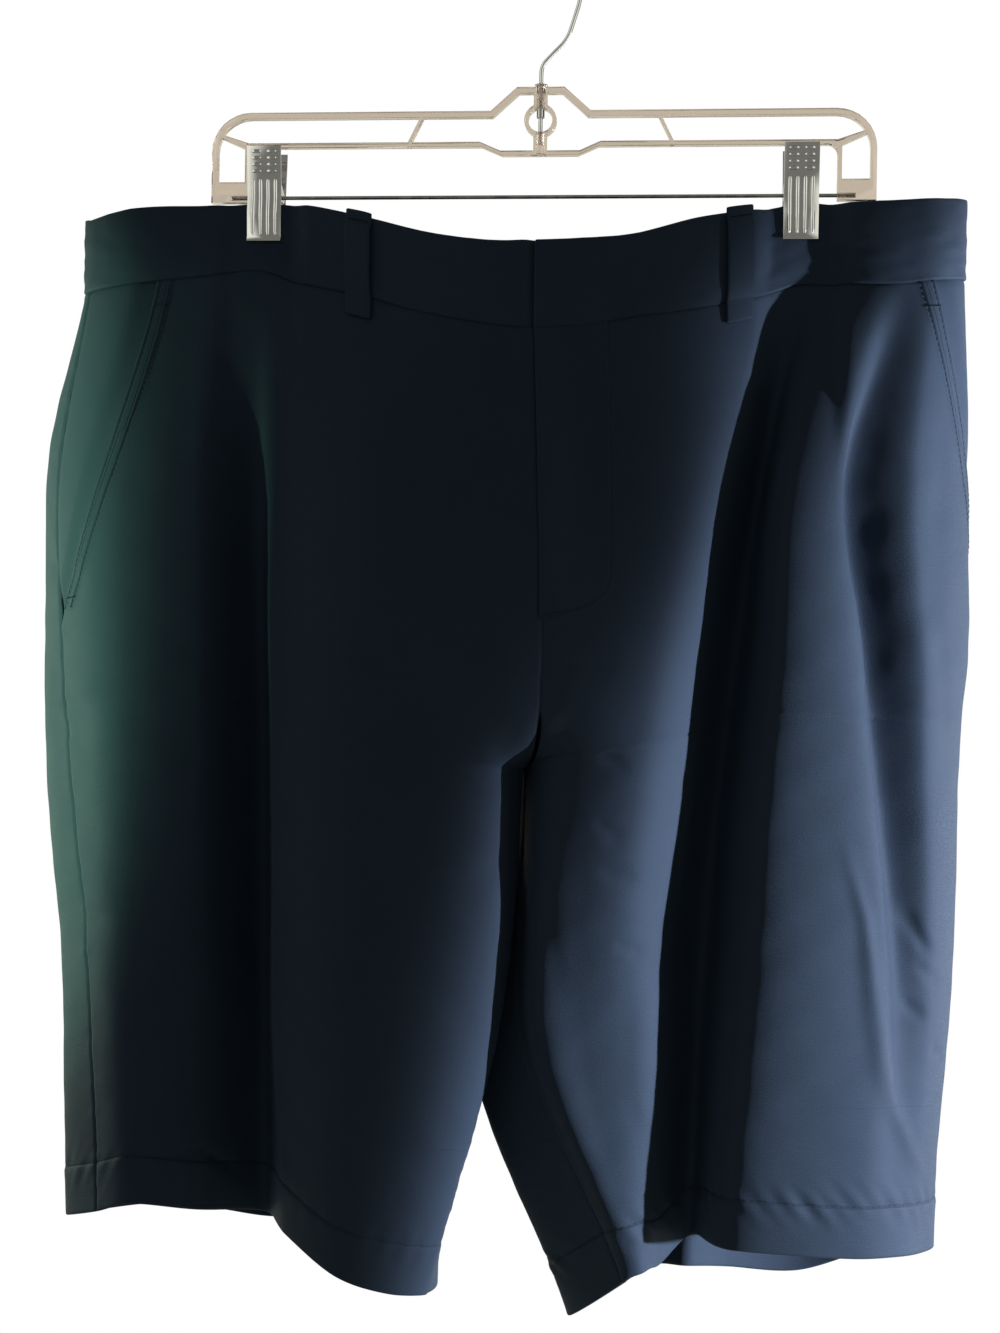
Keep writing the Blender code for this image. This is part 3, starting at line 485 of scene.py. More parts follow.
creaseEnds, creaseUneven = 0.35, 0.3         # share that fades in at each end, and how much the width varies
creases = (
    # half, fold places and levels along it, then its height (a trough is less than 0) and width in mm
    ("right", ((0.2, 0.350), (1.1, 0.358), (2.0, 0.372)), -1.1, 3.2),
    ("right", ((0.1, 0.312), (0.95, 0.321)), -0.8, 3.0),
    ("right", ((1.0, 0.400), (2.6, 0.440)), 0.6, 9.0),
    ("right", ((1.9, 0.456), (2.7, 0.484)), -1.0, 3.0),
    ("right", ((2.0, 0.525), (2.8, 0.555)), -0.9, 3.6),
    ("right", ((2.2, 0.576), (3.4, 0.603)), -1.0, 4.0),
    ("right", ((2.7, 0.660), (3.8, 0.672)), -0.7, 3.2),
    ("right", ((0.5, 0.480), (1.2, 0.620), (1.6, 0.760)), -0.7, 7.0),
    ("right", ((3.3, 0.760), (3.7, 0.860)), 0.6, 6.0),
    ("right", ((3.3, 0.220), (3.9, 0.410), (4.20, 0.500), (4.20, 0.600), (4.10, 0.700)), 1.8, 10.0),
    ("right", ((6.6, 0.56), (6.8, 0.66), (6.9, 0.74), (7.2, 0.805), (7.8, 0.85), (8.5, 0.895), (9.4, 0.94)),
     2.1, 4.6),
    ("right", ((8.2, 0.640), (9.05, 0.704)), -1.6, 4.2),
    ("right", ((8.1, 0.738), (8.9, 0.764)), -1.3, 3.2),
    ("right", ((8.5, 0.700), (9.2, 0.728)), -0.9, 3.4),
    ("right", ((8.9, 0.790), (9.5, 0.800)), -0.7, 3.0),
    ("right", ((9.3, 0.12), (9.1, 0.34), (9.4, 0.50)), -1.2, 8.0),
    ("right", ((7.4, 0.02), (7.2, 0.16), (7.05, 0.30)), 0.9, 7.0),
    ("left", ((7.2, 0.330), (8.6, 0.300)), -0.9, 7.0),
    ("left", ((7.3, 0.500), (8.8, 0.470)), -1.0, 9.0),
    ("left", ((7.0, 0.700), (8.7, 0.660)), -0.8, 8.0),
    ("left", ((6.2, 0.10), (6.5, 0.34), (6.4, 0.60)), 0.7, 10.0),
    ("left", ((5.2, 0.968), (5.9, 0.940), (6.5, 0.946)), -1.3, 4.0),
    ("left", ((0.3, 0.400), (1.4, 0.455)), -0.7, 4.5),
    ("left", ((0.5, 0.520), (1.9, 0.600)), -0.8, 8.0),
    ("left", ((3.2, 0.200), (2.6, 0.380), (2.5, 0.560)), -0.7, 11.0),
    # behind
    ("right", ((18.6, 0.330), (17.2, 0.400), (15.8, 0.420)), -1.2, 5.0),
    ("right", ((18.4, 0.440), (16.9, 0.500)), -1.1, 4.2),
    ("right", ((16.4, 0.540), (15.1, 0.600)), -0.9, 3.6),
    ("right", ((14.4, 0.300), (14.0, 0.520), (14.3, 0.700)), 1.1, 9.0),
    ("right", ((12.3, 0.640), (13.5, 0.700)), -1.3, 4.0),
    ("right", ((12.1, 0.780), (13.0, 0.810)), -0.9, 3.4),
    ("left", ((16.6, 0.350), (15.2, 0.410), (14.0, 0.430)), -1.2, 5.0),
    ("left", ((16.3, 0.460), (14.9, 0.530)), -1.0, 4.4),
    ("left", ((10.4, 0.360), (11.6, 0.420)), -0.9, 4.0),
    ("left", ((10.2, 0.610), (11.2, 0.650)), -1.1, 4.4),
    ("left", ((13.0, 0.250), (13.3, 0.480), (13.1, 0.720)), 0.9, 9.0),
)


def fromSideSeam(half, level, distance):
    # mm from the side seam, which unlike the centre front runs straight down past the fork
    return distance - foldDistance(half, level, "side seam")


def creaseHeight(half, halfName, fromSide, downMm):
    total = np.zeros(downMm.shape)
    for name, line, height, width in creases:
        if name != halfName:
            continue
        marks = np.array([(fromSideSeam(half, level, foldDistance(half, level, place)), down(level))
                          for place, level in line])
        lengths = np.linalg.norm(np.diff(marks, axis=0), axis=1)
        nearest, travelled = np.full(total.shape, 1e3), np.zeros(total.shape)
        for i, length in enumerate(lengths):
            x, y = fromSide - marks[i, 0], downMm - marks[i, 1]
            run = marks[i + 1] - marks[i]
            share = np.clip((x * run[0] + y * run[1]) / length ** 2, 0, 1)
            away = np.hypot(x - run[0] * share, y - run[1] * share)
            travelled = np.where(away < nearest, lengths[:i].sum() + share * length, travelled)
            nearest = np.minimum(away, nearest)
        t = travelled / lengths.sum()
        fade = smoothStep(t / creaseEnds) * smoothStep((1 - t) / creaseEnds)
        uneven = width * (1 + creaseUneven * np.sin(7 * t + 40 * line[0][1]))     # each in its own way
        total += fade * swell((height, uneven), nearest)
    return total


noRow = 50.0                                 # mm, stored where no row of stitches is near


def clothMesh(name, outer, inner, alongMm, downMm, rowMm=None, roundness=0.5):
    # a closed sheet between two grids of points in mm, its rim rounded
    rows, columns = outer.shape[:2]
    rim = [(0, j) for j in range(columns - 1)] + [(i, columns - 1) for i in range(rows - 1)]
    rim += [(rows - 1, j) for j in range(columns - 1, 0, -1)] + [(i, 0) for i in range(rows - 1, 0, -1)]
    beside = [(min(max(i, 1), rows - 2), min(max(j, 1), columns - 2)) for i, j in rim]
    rim, beside = tuple(np.array(rim).T), tuple(np.array(beside).T)
    top, low = outer[rim], inner[rim]
    outward = top - outer[beside]
    outward /= np.linalg.norm(outward, axis=1, keepdims=True)
    thickness = np.linalg.norm(top - low, axis=1, keepdims=True)
    rounds = []
    for angle in np.radians((45, 90, 135)):
        bulge = outward * thickness * roundness * math.sin(angle)
        rounds.append((top + low) / 2 + (top - low) / 2 * math.cos(angle) + bulge)
    size, edge = rows * columns, len(rim[0])
    verts = np.concatenate((outer.reshape(-1, 3), inner.reshape(-1, 3), *rounds)) * 0.001
    index = np.arange(size).reshape(rows, columns)
    a, b, c, d = index[:-1, :-1], index[:-1, 1:], index[1:, 1:], index[1:, :-1]
    faces = [np.stack((a, b, c, d), -1).reshape(-1, 4), np.stack((a, d, c, b), -1).reshape(-1, 4) + size]
    between = [np.arange(edge) + 2 * size + edge * k for k in range(len(rounds))]
    chains = [index[rim], *between, index[rim] + size]
    for first, second in zip(chains[:-1], chains[1:]):
        faces.append(np.stack((first, second, np.roll(second, -1), np.roll(first, -1)), -1))
    faces = np.concatenate(faces)
    mesh = bpy.data.meshes.new(name)
    mesh.from_pydata(verts.tolist(), [], faces.tolist())
    rimUv = [np.stack((alongMm[rim], downMm[rim]), -1)] * len(rounds)
    flat = np.stack((alongMm, downMm), -1).reshape(-1, 2)
    uv = np.concatenate((flat, flat, *rimUv)) * 0.001
    layer = mesh.uv_layers.new(name="clothMap")
    corners = np.empty(len(mesh.loops), np.int32)
    mesh.loops.foreach_get("vertex_index", corners)
    layer.data.foreach_set("uv", uv[corners].astype(np.float32).reshape(-1))
    stored = mesh.attributes.new("rowDistance", "FLOAT", "POINT")
    rowValues = np.full(len(verts), noRow, np.float32)
    if rowMm is not None:
        rowValues[:size] = rowMm.reshape(-1)
    stored.data.foreach_set("value", rowValues)
    mesh.materials.append(clothMaterial)
    mesh.shade_smooth()
    bm = bmesh.new()
    bm.from_mesh(mesh)
    if bm.calc_volume(signed=True) < 0:
        bmesh.ops.reverse_faces(bm, faces=bm.faces)
        bm.to_mesh(mesh)
    bm.free()
    return linked(name, mesh)


def spread(start, end, count, edges=(0.0, 0.45, 1.0, 1.8, 2.9)):
    # distances across a panel, closer together beside its two edges
    near = start + np.array(edges)
    far = end - np.array(edges)[::-1]
    return np.concatenate((near[:-1], np.linspace(near[-1], far[0], count), far[1:]))


# panels

panels = {                      # mm; a pair is a height and a width
    "cloth": 1.0,
    "columnPitch": 2.35,
    "rowPitch": 2.35,
    "topEdges": (0.0, 0.45, 1.0, 1.8),      # closer rows below the waist seam, and above the hem
    "hemEdges": (3.0, 1.8, 0.9, 0.0),
    "seamGap": 0.12,
    "seamRoll": (0.75, 1.1),    # how the edges roll in at a seam, and pucker beside it
    "pucker": (0.20, 6.0),
    "broadWaves": 0.55,
    "fineWaves": 0.10,
    "turnUp": 25.0,             # the hem's depth
    "turnUpCloth": 1.9,
    "turnUpStep": (0.45, 1.6),  # the doubled cloth stands out, below a groove along its stitches
    "turnUpGroove": (0.35, 1.5),
    "turnUpPucker": (0.30, 9.0),
    "flyWidth": 36.0,
    "flyEnd": 0.300,            # a level, as the pocket's ends are
    "flyCurve": 15.0,           # radius of the J at its end
    "flyLap": 0.9,              # how far the right front goes past the centre
    "flyProud": (1.0, 2.4),
    "flyPucker": (0.22, 7.0),
    "underFly": (1.0, 4.0),     # how the left front dips beside the fly's edge
    "pocketWidth": 45.0,
    "pocketEnd": 0.375,
    "pocketCurve": 2.8,
    "pocketRows": (1.6, 7.6),   # two rows of stitches, from the slant opening
    "pocketRowsEnd": 0.355,
    "pocketFlap": 8.0,          # how wide the doubled cloth beside the opening is
    "pocketProud": (0.5, 2.0),
}


def pocketWidth(level):
    share = np.clip(level / panels["pocketEnd"], 0, 1)
    return panels["pocketWidth"] * (1 - share ** panels["pocketCurve"])


def panelLevels():
    turnUp = panelLength - panels["turnUp"]
    first, last = 3.0, turnUp - 2.0
    count = int(round((last - first) / panels["rowPitch"]))
    lower = [panelLength - edge for edge in panels["hemEdges"]]
    marks = [*panels["topEdges"], *np.linspace(first, last, count + 1), turnUp - 1.0, turnUp, turnUp + 1.0]
    marks += [*np.linspace(turnUp + 2.2, lower[0], 9), *lower[1:]]
    return np.array(marks) / panelLength


def jDistance(along, downMm):
    # signed distance in mm from the J of stitches beside the fly, less than 0 inside it
    width, curve = panels["flyWidth"], panels["flyCurve"]
    bottom = panels["flyEnd"] * panelLength
    x, y = along - (width - curve), downMm - (bottom - curve)
    rounded = np.hypot(np.maximum(x, 0), np.maximum(y, 0)) - curve
    tail = np.where((x <= 0) & (y > 0), y - curve, rounded)
    return np.where(y < 0, along - width, tail)


clothPieces = {}


def isCloth(piece, node):
    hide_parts(node)
    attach(piece, "root")
    clothPieces[piece.name] = piece


def panelEdges(halfName, isFront, levels):
    # mm along the cloth where each level of a panel starts and ends
    half, gap = halves[halfName], panels["seamGap"]
    sides = [foldDistance(half, v, "side seam") for v in levels]
    if not isFront:
        return [side + gap for side in sides], [foldDistance(half, v, "centre back") - gap for v in levels]
    laps = [halfName == "right" and v <= panels["flyEnd"] for v in levels]
    starts = [-panels["flyLap"] if lap else gap for lap in laps]
    return starts, [side - max(pocketWidth(v), gap) for side, v in zip(sides, levels)]


def nearer(row, other):
    # of two distances from rows of stitches, the smaller one
    return np.where(abs(other) < abs(row), other, row)


def panelForm(halfName, isFront, sheet, fromStart, fromEnd):
    # how far the cloth stands off its fold lines, and how far it is from a row of stitches, in mm
    half, along, downMm = halves[halfName], sheet["along"], sheet["down"]
    levels = sheet["levels"][:, None] + 0 * along
    fromSide = np.array([fromSideSeam(half, v, row) for v, row in zip(sheet["levels"], along)])
    overFly = isFront and halfName == "right"
    besideFly = levels <= panels["flyEnd"]
    # the broad waves are longer down the cloth than across it, and both begin below the waist seam
    height = panels["broadWaves"] * broadRipple(fromSide, downMm * 0.6) * smoothStep(downMm / 60)
    height += panels["fineWaves"] * fineRipple(fromSide, downMm) * smoothStep(downMm / 40)
    height += creaseHeight(half, halfName, fromSide, downMm)
    rollStart = np.where(besideFly & overFly, 0.0, 1.0)
    rollEnd = np.where((levels < panels["pocketEnd"]) & isFront, 0.0, 1.0)
    for away, roll in ((fromStart, rollStart), (fromEnd, rollEnd), (downMm, 1.0)):
        height -= swell(panels["seamRoll"], away) * roll
        height += swell(panels["pucker"], away) * puckerRipple(along * 0.4, downMm) * roll
    rowMm = np.full(along.shape, noRow)
    if overFly:
        rowMm = jDistance(along, downMm)
        height += stepUp(panels["flyProud"], -rowMm)
        height += swell(panels["flyPucker"], rowMm) * puckerRipple(along, downMm * 0.8)
    elif isFront:
        height -= swell(panels["underFly"], along) * besideFly
    if isFront:
        besidePocket = levels <= panels["pocketRowsEnd"]
        edge, second = (fromEnd - inset for inset in panels["pocketRows"])
        rowMm = nearer(rowMm, np.where(besidePocket, nearer(second, edge), noRow))
        height += stepUp(panels["pocketProud"], panels["pocketFlap"] - fromEnd) * besidePocket
    turned = downMm - (panelLength - panels["turnUp"])
    height += stepUp(panels["turnUpStep"], turned) - swell(panels["turnUpGroove"], turned)
    height += swell(panels["turnUpPucker"], turned) * puckerRipple(along, downMm * 0.3)
    return height, nearer(rowMm, turned), np.where(turned > -0.2, panels["turnUpCloth"], panels["cloth"])


def makePanel(name, halfName, isFront):
    levels = panelLevels()
    starts, ends = (np.array(edge) for edge in panelEdges(halfName, isFront, levels))
    count = int(max(ends - starts) / panels["columnPitch"])
    sheet = patch(halves[halfName], levels, [spread(a, b, count) for a, b in zip(starts, ends)])
    fromStart = sheet["along"] - starts[:, None]
    fromEnd = ends[:, None] - sheet["along"]
    height, rowMm, thick = panelForm(halfName, isFront, sheet, fromStart, fromEnd)
    outer = sheet["points"] + sheet["normals"] * height[..., None]
    inner = outer - sheet["normals"] * thick[..., None]
    sheet.update(outer=outer, starts=starts, ends=ends)
    return clothMesh(name, outer, inner, sheet["along"], sheet["down"], rowMm), sheet


panelSheets = {}
for side in ("front", "back"):
    for halfName in ("left", "right"):
        panelName = side + halfName.title()
        panelObject, panelSheets[panelName] = makePanel(panelName, halfName, side == "front")
        isCloth(panelObject, side + "_" + halfName)
print("panels made")


# pieces behind the openings

behind = {
    "top": 0.3,                 # mm below the waist seam; all sizes here are in mm
    "depth": 2.0,               # how far a facing lies behind the panel's edge
    "cloth": 1.0,
    "underlap": 14.0,
    "rise": 3.0,                # it comes out to the side seam over the slope, past the rise
    "slope": 12.0,
    "shieldDepth": 2.2,
    "shieldCloth": 1.2,
    "shieldGap": 0.5,           # from the centre front to the first points on either side
    "lap": 32.0,                # how far the left pieces go on under the right front
    "sewn": 10.0,
}


def makeFacing(name, halfName):
    half = halves[halfName]
    levels = np.linspace(behind["top"] / panelLength, panels["pocketEnd"] + 2.0 / panelLength, 74)
    distances, depths = [], []
    for v in levels:
        seam = foldDistance(half, v, "side seam") - panels["seamGap"]
        opening = seam - pocketWidth(v)
        row = spread(opening - behind["underlap"], seam, 24)
        distances.append(row)
        depths.append(behind["depth"] * (1 - smoothStep((row - opening - behind["rise"]) / behind["slope"])))
    sheet = patch(half, levels, distances)
    fromSeam = sheet["along"][:, -1:] - sheet["along"]
    height = -np.array(depths)
    for away in (fromSeam, sheet["down"]):
        height -= swell(panels["seamRoll"], away)
    outer = sheet["points"] + sheet["normals"] * height[..., None]
    inner = outer - sheet["normals"] * behind["cloth"]
    return clothMesh(name, outer, inner, sheet["along"], sheet["down"])


def acrossFront(levels, rightRow, leftRows):
    # a strip over the centre front, as points, normals, mm along (less than 0 on the right half) and down
    right = patch(halves["right"], levels, [rightRow] * len(levels))
    left = patch(halves["left"], levels, leftRows)
    right["along"] = -right["along"]
    return [np.concatenate((right[key], left[key]), axis=1) for key in ("points", "normals", "along", "down")]


for halfName in ("left", "right"):
    isCloth(makeFacing("pocketFacing" + halfName.title(), halfName), "pocket_facing_" + halfName)

shieldLevels = np.linspace(behind["top"] / panelLength, panels["flyEnd"], 60)
shieldPoints, shieldNormals, shieldAlong, shieldDown = acrossFront(
    shieldLevels, np.linspace(behind["lap"], behind["shieldGap"], 14),
    [np.linspace(behind["shieldGap"], behind["sewn"], 6)] * len(shieldLevels))
shieldOuter = shieldPoints - shieldNormals * behind["shieldDepth"]
shieldInner = shieldOuter - shieldNormals * behind["shieldCloth"]
isCloth(clothMesh("flyShield", shieldOuter, shieldInner, shieldAlong, shieldDown), "fly_shield")
print("facings and fly shield made")


# waistband

band = {
    "cloth": 2.4,                # mm, as all sizes here
    "proud": 0.9,
    "columnPitch": 2.6,
    "underGap": 0.4,             # from the centre front to the first points of the left half on either side
    "sunk": 2.5,                 # how far its end lies behind the right half's, and over what width it rises
    "ramp": 7.0,
    "waves": 0.16,
    "pucker": 0.10,
}
bandLevels = np.concatenate((np.array((0, 0.6, 1.4)) / bandHeight - 1, np.linspace(-0.95, -0.05, 17),
                             -np.array((1.4, 0.6, panels["seamGap"])) / bandHeight))


def makeBand(name, halfName):
    half, isLeft = halves[halfName], halfName == "left"
    count = int(foldDistance(half, -0.5, "centre back") / band["columnPitch"])
    start = band["underGap"] if isLeft else -panels["flyLap"]
    ends = [foldDistance(half, v, "centre back") - panels["seamGap"] for v in bandLevels]
    rows = [spread(start, end, count) for end in ends]
    if isLeft:
        under = np.linspace(behind["lap"], band["underGap"], 14)
        points, normals, along, downMm = acrossFront(bandLevels, under, rows)
        share = smoothStep((along - 1.0) / band["ramp"])
        height = band["proud"] * share - band["sunk"] * (1 - share)
    else:
        sheet = patch(half, bandLevels, rows)
        points, normals, along, downMm = (sheet[key] for key in ("points", "normals", "along", "down"))
        height = np.full(along.shape, band["proud"])
    height += band["waves"] * fineRipple(along, downMm * 3) + band["pucker"] * puckerRipple(along, downMm)
    outer = points + normals * height[..., None]
    return clothMesh(name, outer, outer - normals * band["cloth"], along, downMm, roundness=0.42)


for halfName in ("right", "left"):
    isCloth(makeBand("waistband" + halfName.title(), halfName), "waistband_" + halfName)
print("waistband made")


# belt loops

loops = {
    "width": 14.0,
    "cloth": 1.6,
    "crown": 0.25,       # mm that its middle stands out
    "rows": 45,
    "places": {          # mm round the band from the centre front, less than 0 to the left
        "loopFrontRight": ("loop_front_right", 108.0),
        "loopBackRight": ("loop_back_right", 299.0),
        "loopCentreBack": ("loop_centre_back", 507.0),
        "loopBackLeft": ("loop_back_left", -316.0),
        "loopFrontLeft": ("loop_front_left", -99.0),
    },
    # level, and mm that its back stands off the fold lines there
    "profile": ((-1.06, 1.5), (-1.02, 1.5), (-0.97, 1.6), (-0.90, 2.9), (-0.82, 3.3), (-0.50, 3.5),
                (-0.22, 3.3), (-0.12, 2.9), (-0.02, 1.9), (0.010, 1.4), (0.020, 1.1), (0.024, 0.9)),
}


def roundBand(level):
    # points and normals all the way round, from the centre front to the right, and the mm to each point
    rows = {}
    for halfName, half in halves.items():
        distances = np.linspace(0, foldDistance(half, level, "centre back"), 400)
        rows[halfName] = patch(half, [level], [distances])
    points, normals = (np.concatenate((rows["right"][key][0], rows["left"][key][0][-2::-1]))
                       for key in ("points", "normals"))
    steps = np.linalg.norm(np.diff(points, axis=0), axis=1)
    return points, normals, np.concatenate(([0.0], np.cumsum(steps)))


loopSheets = {}


def makeLoop(name, distance):
    widths = spread(-loops["width"] / 2, loops["width"] / 2, 5, edges=(0.0, 0.5, 1.3, 2.4))
    marks = range(len(loops["profile"]))
    fine = np.linspace(0, marks[-1], loops["rows"])
    levels, stands = (np.interp(fine, marks, column) for column in zip(*loops["profile"]))
    stands[2:-2] = np.convolve(stands, np.array((1, 2, 3, 2, 1)) / 9, "valid")     # rounds its bends
    crown = loops["crown"] * (1 - (widths / widths[-1]) ** 2)[:, None]
    rows = {"outer": [], "inner": [], "normals": [], "along": [], "down": []}
    for level, stand in zip(levels, stands):
        points, normals, steps = roundBand(level)
        places = (distance if distance > 0 else steps[-1] + distance) + widths
        at, facing = (np.array([np.interp(places, steps, axis) for axis in grid.T]).T
                      for grid in (points, normals))
        facing /= np.linalg.norm(facing, axis=1, keepdims=True)
        rows["inner"].append(at + facing * stand)
        rows["outer"].append(at + facing * (stand + loops["cloth"] + crown))
        rows["normals"].append(facing)
        rows["along"].append(widths)
        rows["down"].append(np.full(len(widths), down(level)))
    sheet = {key: np.array(grid) for key, grid in rows.items()}
    loopSheets[name] = sheet
    return clothMesh(name, sheet["outer"], sheet["inner"], sheet["along"], sheet["down"])


for loopName, (node, distance) in loops["places"].items():
    isCloth(makeLoop(loopName, distance), node)
print("belt loops made")


# hanger: the moulded frame with softened edges, the hook, and the rod and collar as they are

edges = {"frame": 0.0006, "jaw": 0.00045, "sharp": 35.0}     # roundings in metres; corners past these degrees


def evaluated(obj):
    # the object's mesh with its modifiers applied
    graph = bpy.context.evaluated_depsgraph_get()
    return bpy.data.meshes.new_from_object(obj.evaluated_get(graph))


def softened(name, node, width, material):
    # a CAD solid's shape with its edges rounded
    bm = bmesh.new()
    bm.from_mesh(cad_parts[node].data)
    bmesh.ops.remove_doubles(bm, verts=bm.verts, dist=2e-6)
    bmesh.ops.dissolve_limit(bm, angle_limit=math.radians(2), verts=bm.verts, edges=bm.edges)
    mesh = bpy.data.meshes.new(name)
    bm.to_mesh(mesh)
    bm.free()
    mesh.materials.append(material)
    mesh.shade_smooth()
    obj = linked(name, mesh)
    bevel = obj.modifiers.new("softEdges", "BEVEL")
    bevel.width = width
    bevel.segments = 2
    bevel.limit_method = "ANGLE"
    bevel.angle_limit = math.radians(edges["sharp"])
    bevel.harden_normals = True
    obj.data = evaluated(obj)
    obj.modifiers.clear()
    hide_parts(node)
    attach(obj, "root")


softened("mouldedFrame", "hanger_frame", edges["frame"], plasticMaterial)

hookShape = {                    # mm; x to the right and z up, from the inside top of the bow
    "radius": 1.15,
    "bend": ((0, -99), (0, -80), (0, -66), (0.05, -61), (0.3, -58.5), (1.3, -56.0), (2.9, -53.9),
             (7.0, -49.6), (11.2, -45.3), (13.2, -42.5), (14.8, -39.3), (16.2, -35.0), (17.6, -30.5),
             (19.0, -26.0)),
    "centre": -19.0,             # of the bow, whose radius is that of the wire's middle
    "bow": 20.15,
    "arc": (-8, 184),
}


def wireTube(name, points, radius, material):
    curve = bpy.data.curves.new(name, "CURVE")
    curve.dimensions = "3D"
    curve.bevel_depth = radius
    curve.bevel_resolution = 4
    curve.use_fill_caps = True
    spline = curve.splines.new("POLY")
    spline.points.add(len(points) - 1)
    for point, place in zip(spline.points, points):
        point.co = (*place, 1.0)
    curve.materials.append(material)
    source = linked(name + "Curve", curve)
    mesh = evaluated(source)
    bpy.data.objects.remove(source)
    bm = bmesh.new()
    bm.from_mesh(mesh)
    bmesh.ops.remove_doubles(bm, verts=bm.verts, dist=1e-6)
    bmesh.ops.recalc_face_normals(bm, faces=bm.faces)
    bm.to_mesh(mesh)
    bm.free()
    mesh.shade_smooth()
    mesh.set_sharp_from_angle(angle=math.radians(50))
    return linked(name, mesh)


def smoothLine(points, count):
    # Catmull-Rom through the points
    points = np.array([points[0], *points, points[-1]], float)
    made = []
    for i in range(1, len(points) - 2):
        p0, p1, p2, p3 = points[i - 1:i + 3]
        for t in np.linspace(0, 1, count, endpoint=False):
            made.append(0.5 * (2 * p1 + (p2 - p0) * t + (2 * p0 - 5 * p1 + 4 * p2 - p3) * t * t
                               + (3 * p1 - p0 - 3 * p2 + p3) * t ** 3))
    return made + [points[-2]]


bow, centre = hookShape["bow"], hookShape["centre"]
turns = np.radians(np.linspace(*hookShape["arc"], 56))
wire = smoothLine(hookShape["bend"], 4) + [(bow * math.cos(a), centre + bow * math.sin(a)) for a in turns]
hook = wireTube("wireHook", [(x * 0.001, 0.0, z * 0.001) for x, z in wire], hookShape["radius"] * 0.001,
                hookMaterial)
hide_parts("hook")
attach(hook, "root")
for node, material in (("rod", wireMaterial), ("hook_collar", collarMaterial)):
    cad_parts[node].data.materials.clear()
    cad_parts[node].data.materials.append(material)
print("frame, rod and hook made")


# clips: softened jaws, each with pressed domes and flutes, and a wound spring

def newTree(name, inputs):
    # an empty tree that takes points and the named inputs
    tree = bpy.data.node_groups.new(name, "GeometryNodeTree")
    tree.interface.new_socket("Geometry", in_out="INPUT", socket_type="NodeSocketGeometry")
    for label, kind, value in (*inputs, ("Material", "Material", None)):
        socket = tree.interface.new_socket(label, in_out="INPUT", socket_type="NodeSocket" + kind)
        if value is not None:
            socket.default_value = value
    tree.interface.new_socket("Geometry", in_out="OUTPUT", socket_type="NodeSocketGeometry")
    return tree, addNode(tree, "NodeGroupInput").outputs


def finishTree(tree, inputs, geometry):
    realised = addNode(tree, "GeometryNodeRealizeInstances", {0: geometry})
    smooth = addNode(tree, "GeometryNodeSetShadeSmooth", {0: realised.outputs[0]})
    painted = addNode(tree, "GeometryNodeSetMaterial", {0: smooth.outputs[0], "Material": inputs["Material"]})
    addNode(tree, "NodeGroupOutput", {0: painted.outputs[0]})
    return tree


def embossTree():
    # a flattened dome on every point, turned to the jaw's face
    tree, inputs = newTree("pressedDomes", (
        ("Size", "Vector", (0.001, 0.001, 0.001)), ("Tilt", "Float", 0.0)))
    dome = addNode(tree, "GeometryNodeMeshUVSphere", {"Segments": 16, "Rings": 10, "Radius": 1.0})
    turn = addNode(tree, "ShaderNodeCombineXYZ", {0: inputs["Tilt"]})
    placed = addNode(tree, "GeometryNodeInstanceOnPoints", {
        "Points": inputs["Geometry"], "Instance": dome.outputs[0], "Rotation": turn.outputs[0],
        "Scale": inputs["Size"]})
    return finishTree(tree, inputs, placed.outputs[0])


def roundAlong(tree, path, sides, radius):
    # a capped round bar along a curve
    ring = addNode(tree, "GeometryNodeCurvePrimitiveCircle", {"Resolution": sides, "Radius": radius})
    tube = addNode(tree, "GeometryNodeCurveToMesh", {0: path, 1: ring.outputs[0], "Fill Caps": True})
    return tube.outputs[0]


def fluteTree():
    # a round ridge along every line of points
    tree, inputs = newTree("pressedFlutes", (("Radius", "Float", 0.001),))
    path = addNode(tree, "GeometryNodeMeshToCurve", {0: inputs["Geometry"]})
    return finishTree(tree, inputs, roundAlong(tree, path.outputs[0], 20, inputs["Radius"]))


def springTree():
    # a coil of wire, lying along X
    tree, inputs = newTree("woundSpring", (
        ("Turns", "Float", 7.0), ("Radius", "Float", 0.003), ("Length", "Float", 0.012),
        ("Wire", "Float", 0.0005), ("Middle", "Vector", (0, 0, 0))))
    coil = addNode(tree, "GeometryNodeCurveSpiral", {
        "Resolution": 28, "Rotations": inputs["Turns"], "Start Radius": inputs["Radius"],
        "End Radius": inputs["Radius"], "Height": inputs["Length"]})
    laid = addNode(tree, "GeometryNodeTransform", {
        0: roundAlong(tree, coil.outputs[0], 10, inputs["Wire"]), "Rotation": (0.0, math.pi / 2, 0.0),
        "Translation": inputs["Middle"]})
    return finishTree(tree, inputs, laid.outputs[0])


def grown(name, tree, values, lines=(((0, 0, 0),),)):
    # runs a tree on lines of points and keeps its result as a plain mesh
    points, links = [], []
    for line in lines:
        links += [(i, i + 1) for i in range(len(points), len(points) + len(line) - 1)]
        points += [tuple(point) for point in line]
    mesh = bpy.data.meshes.new(name)
    mesh.from_pydata(points, links, [])
    obj = linked(name, mesh)
    modifier = obj.modifiers.new("grow", "NODES")
    modifier.node_group = tree
    for item in tree.interface.items_tree:
        if item.in_out == "INPUT" and item.name in values:
            modifier[item.identifier] = values[item.name]
    obj.data = evaluated(obj)
    obj.modifiers.clear()
    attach(obj, "root")
    return obj


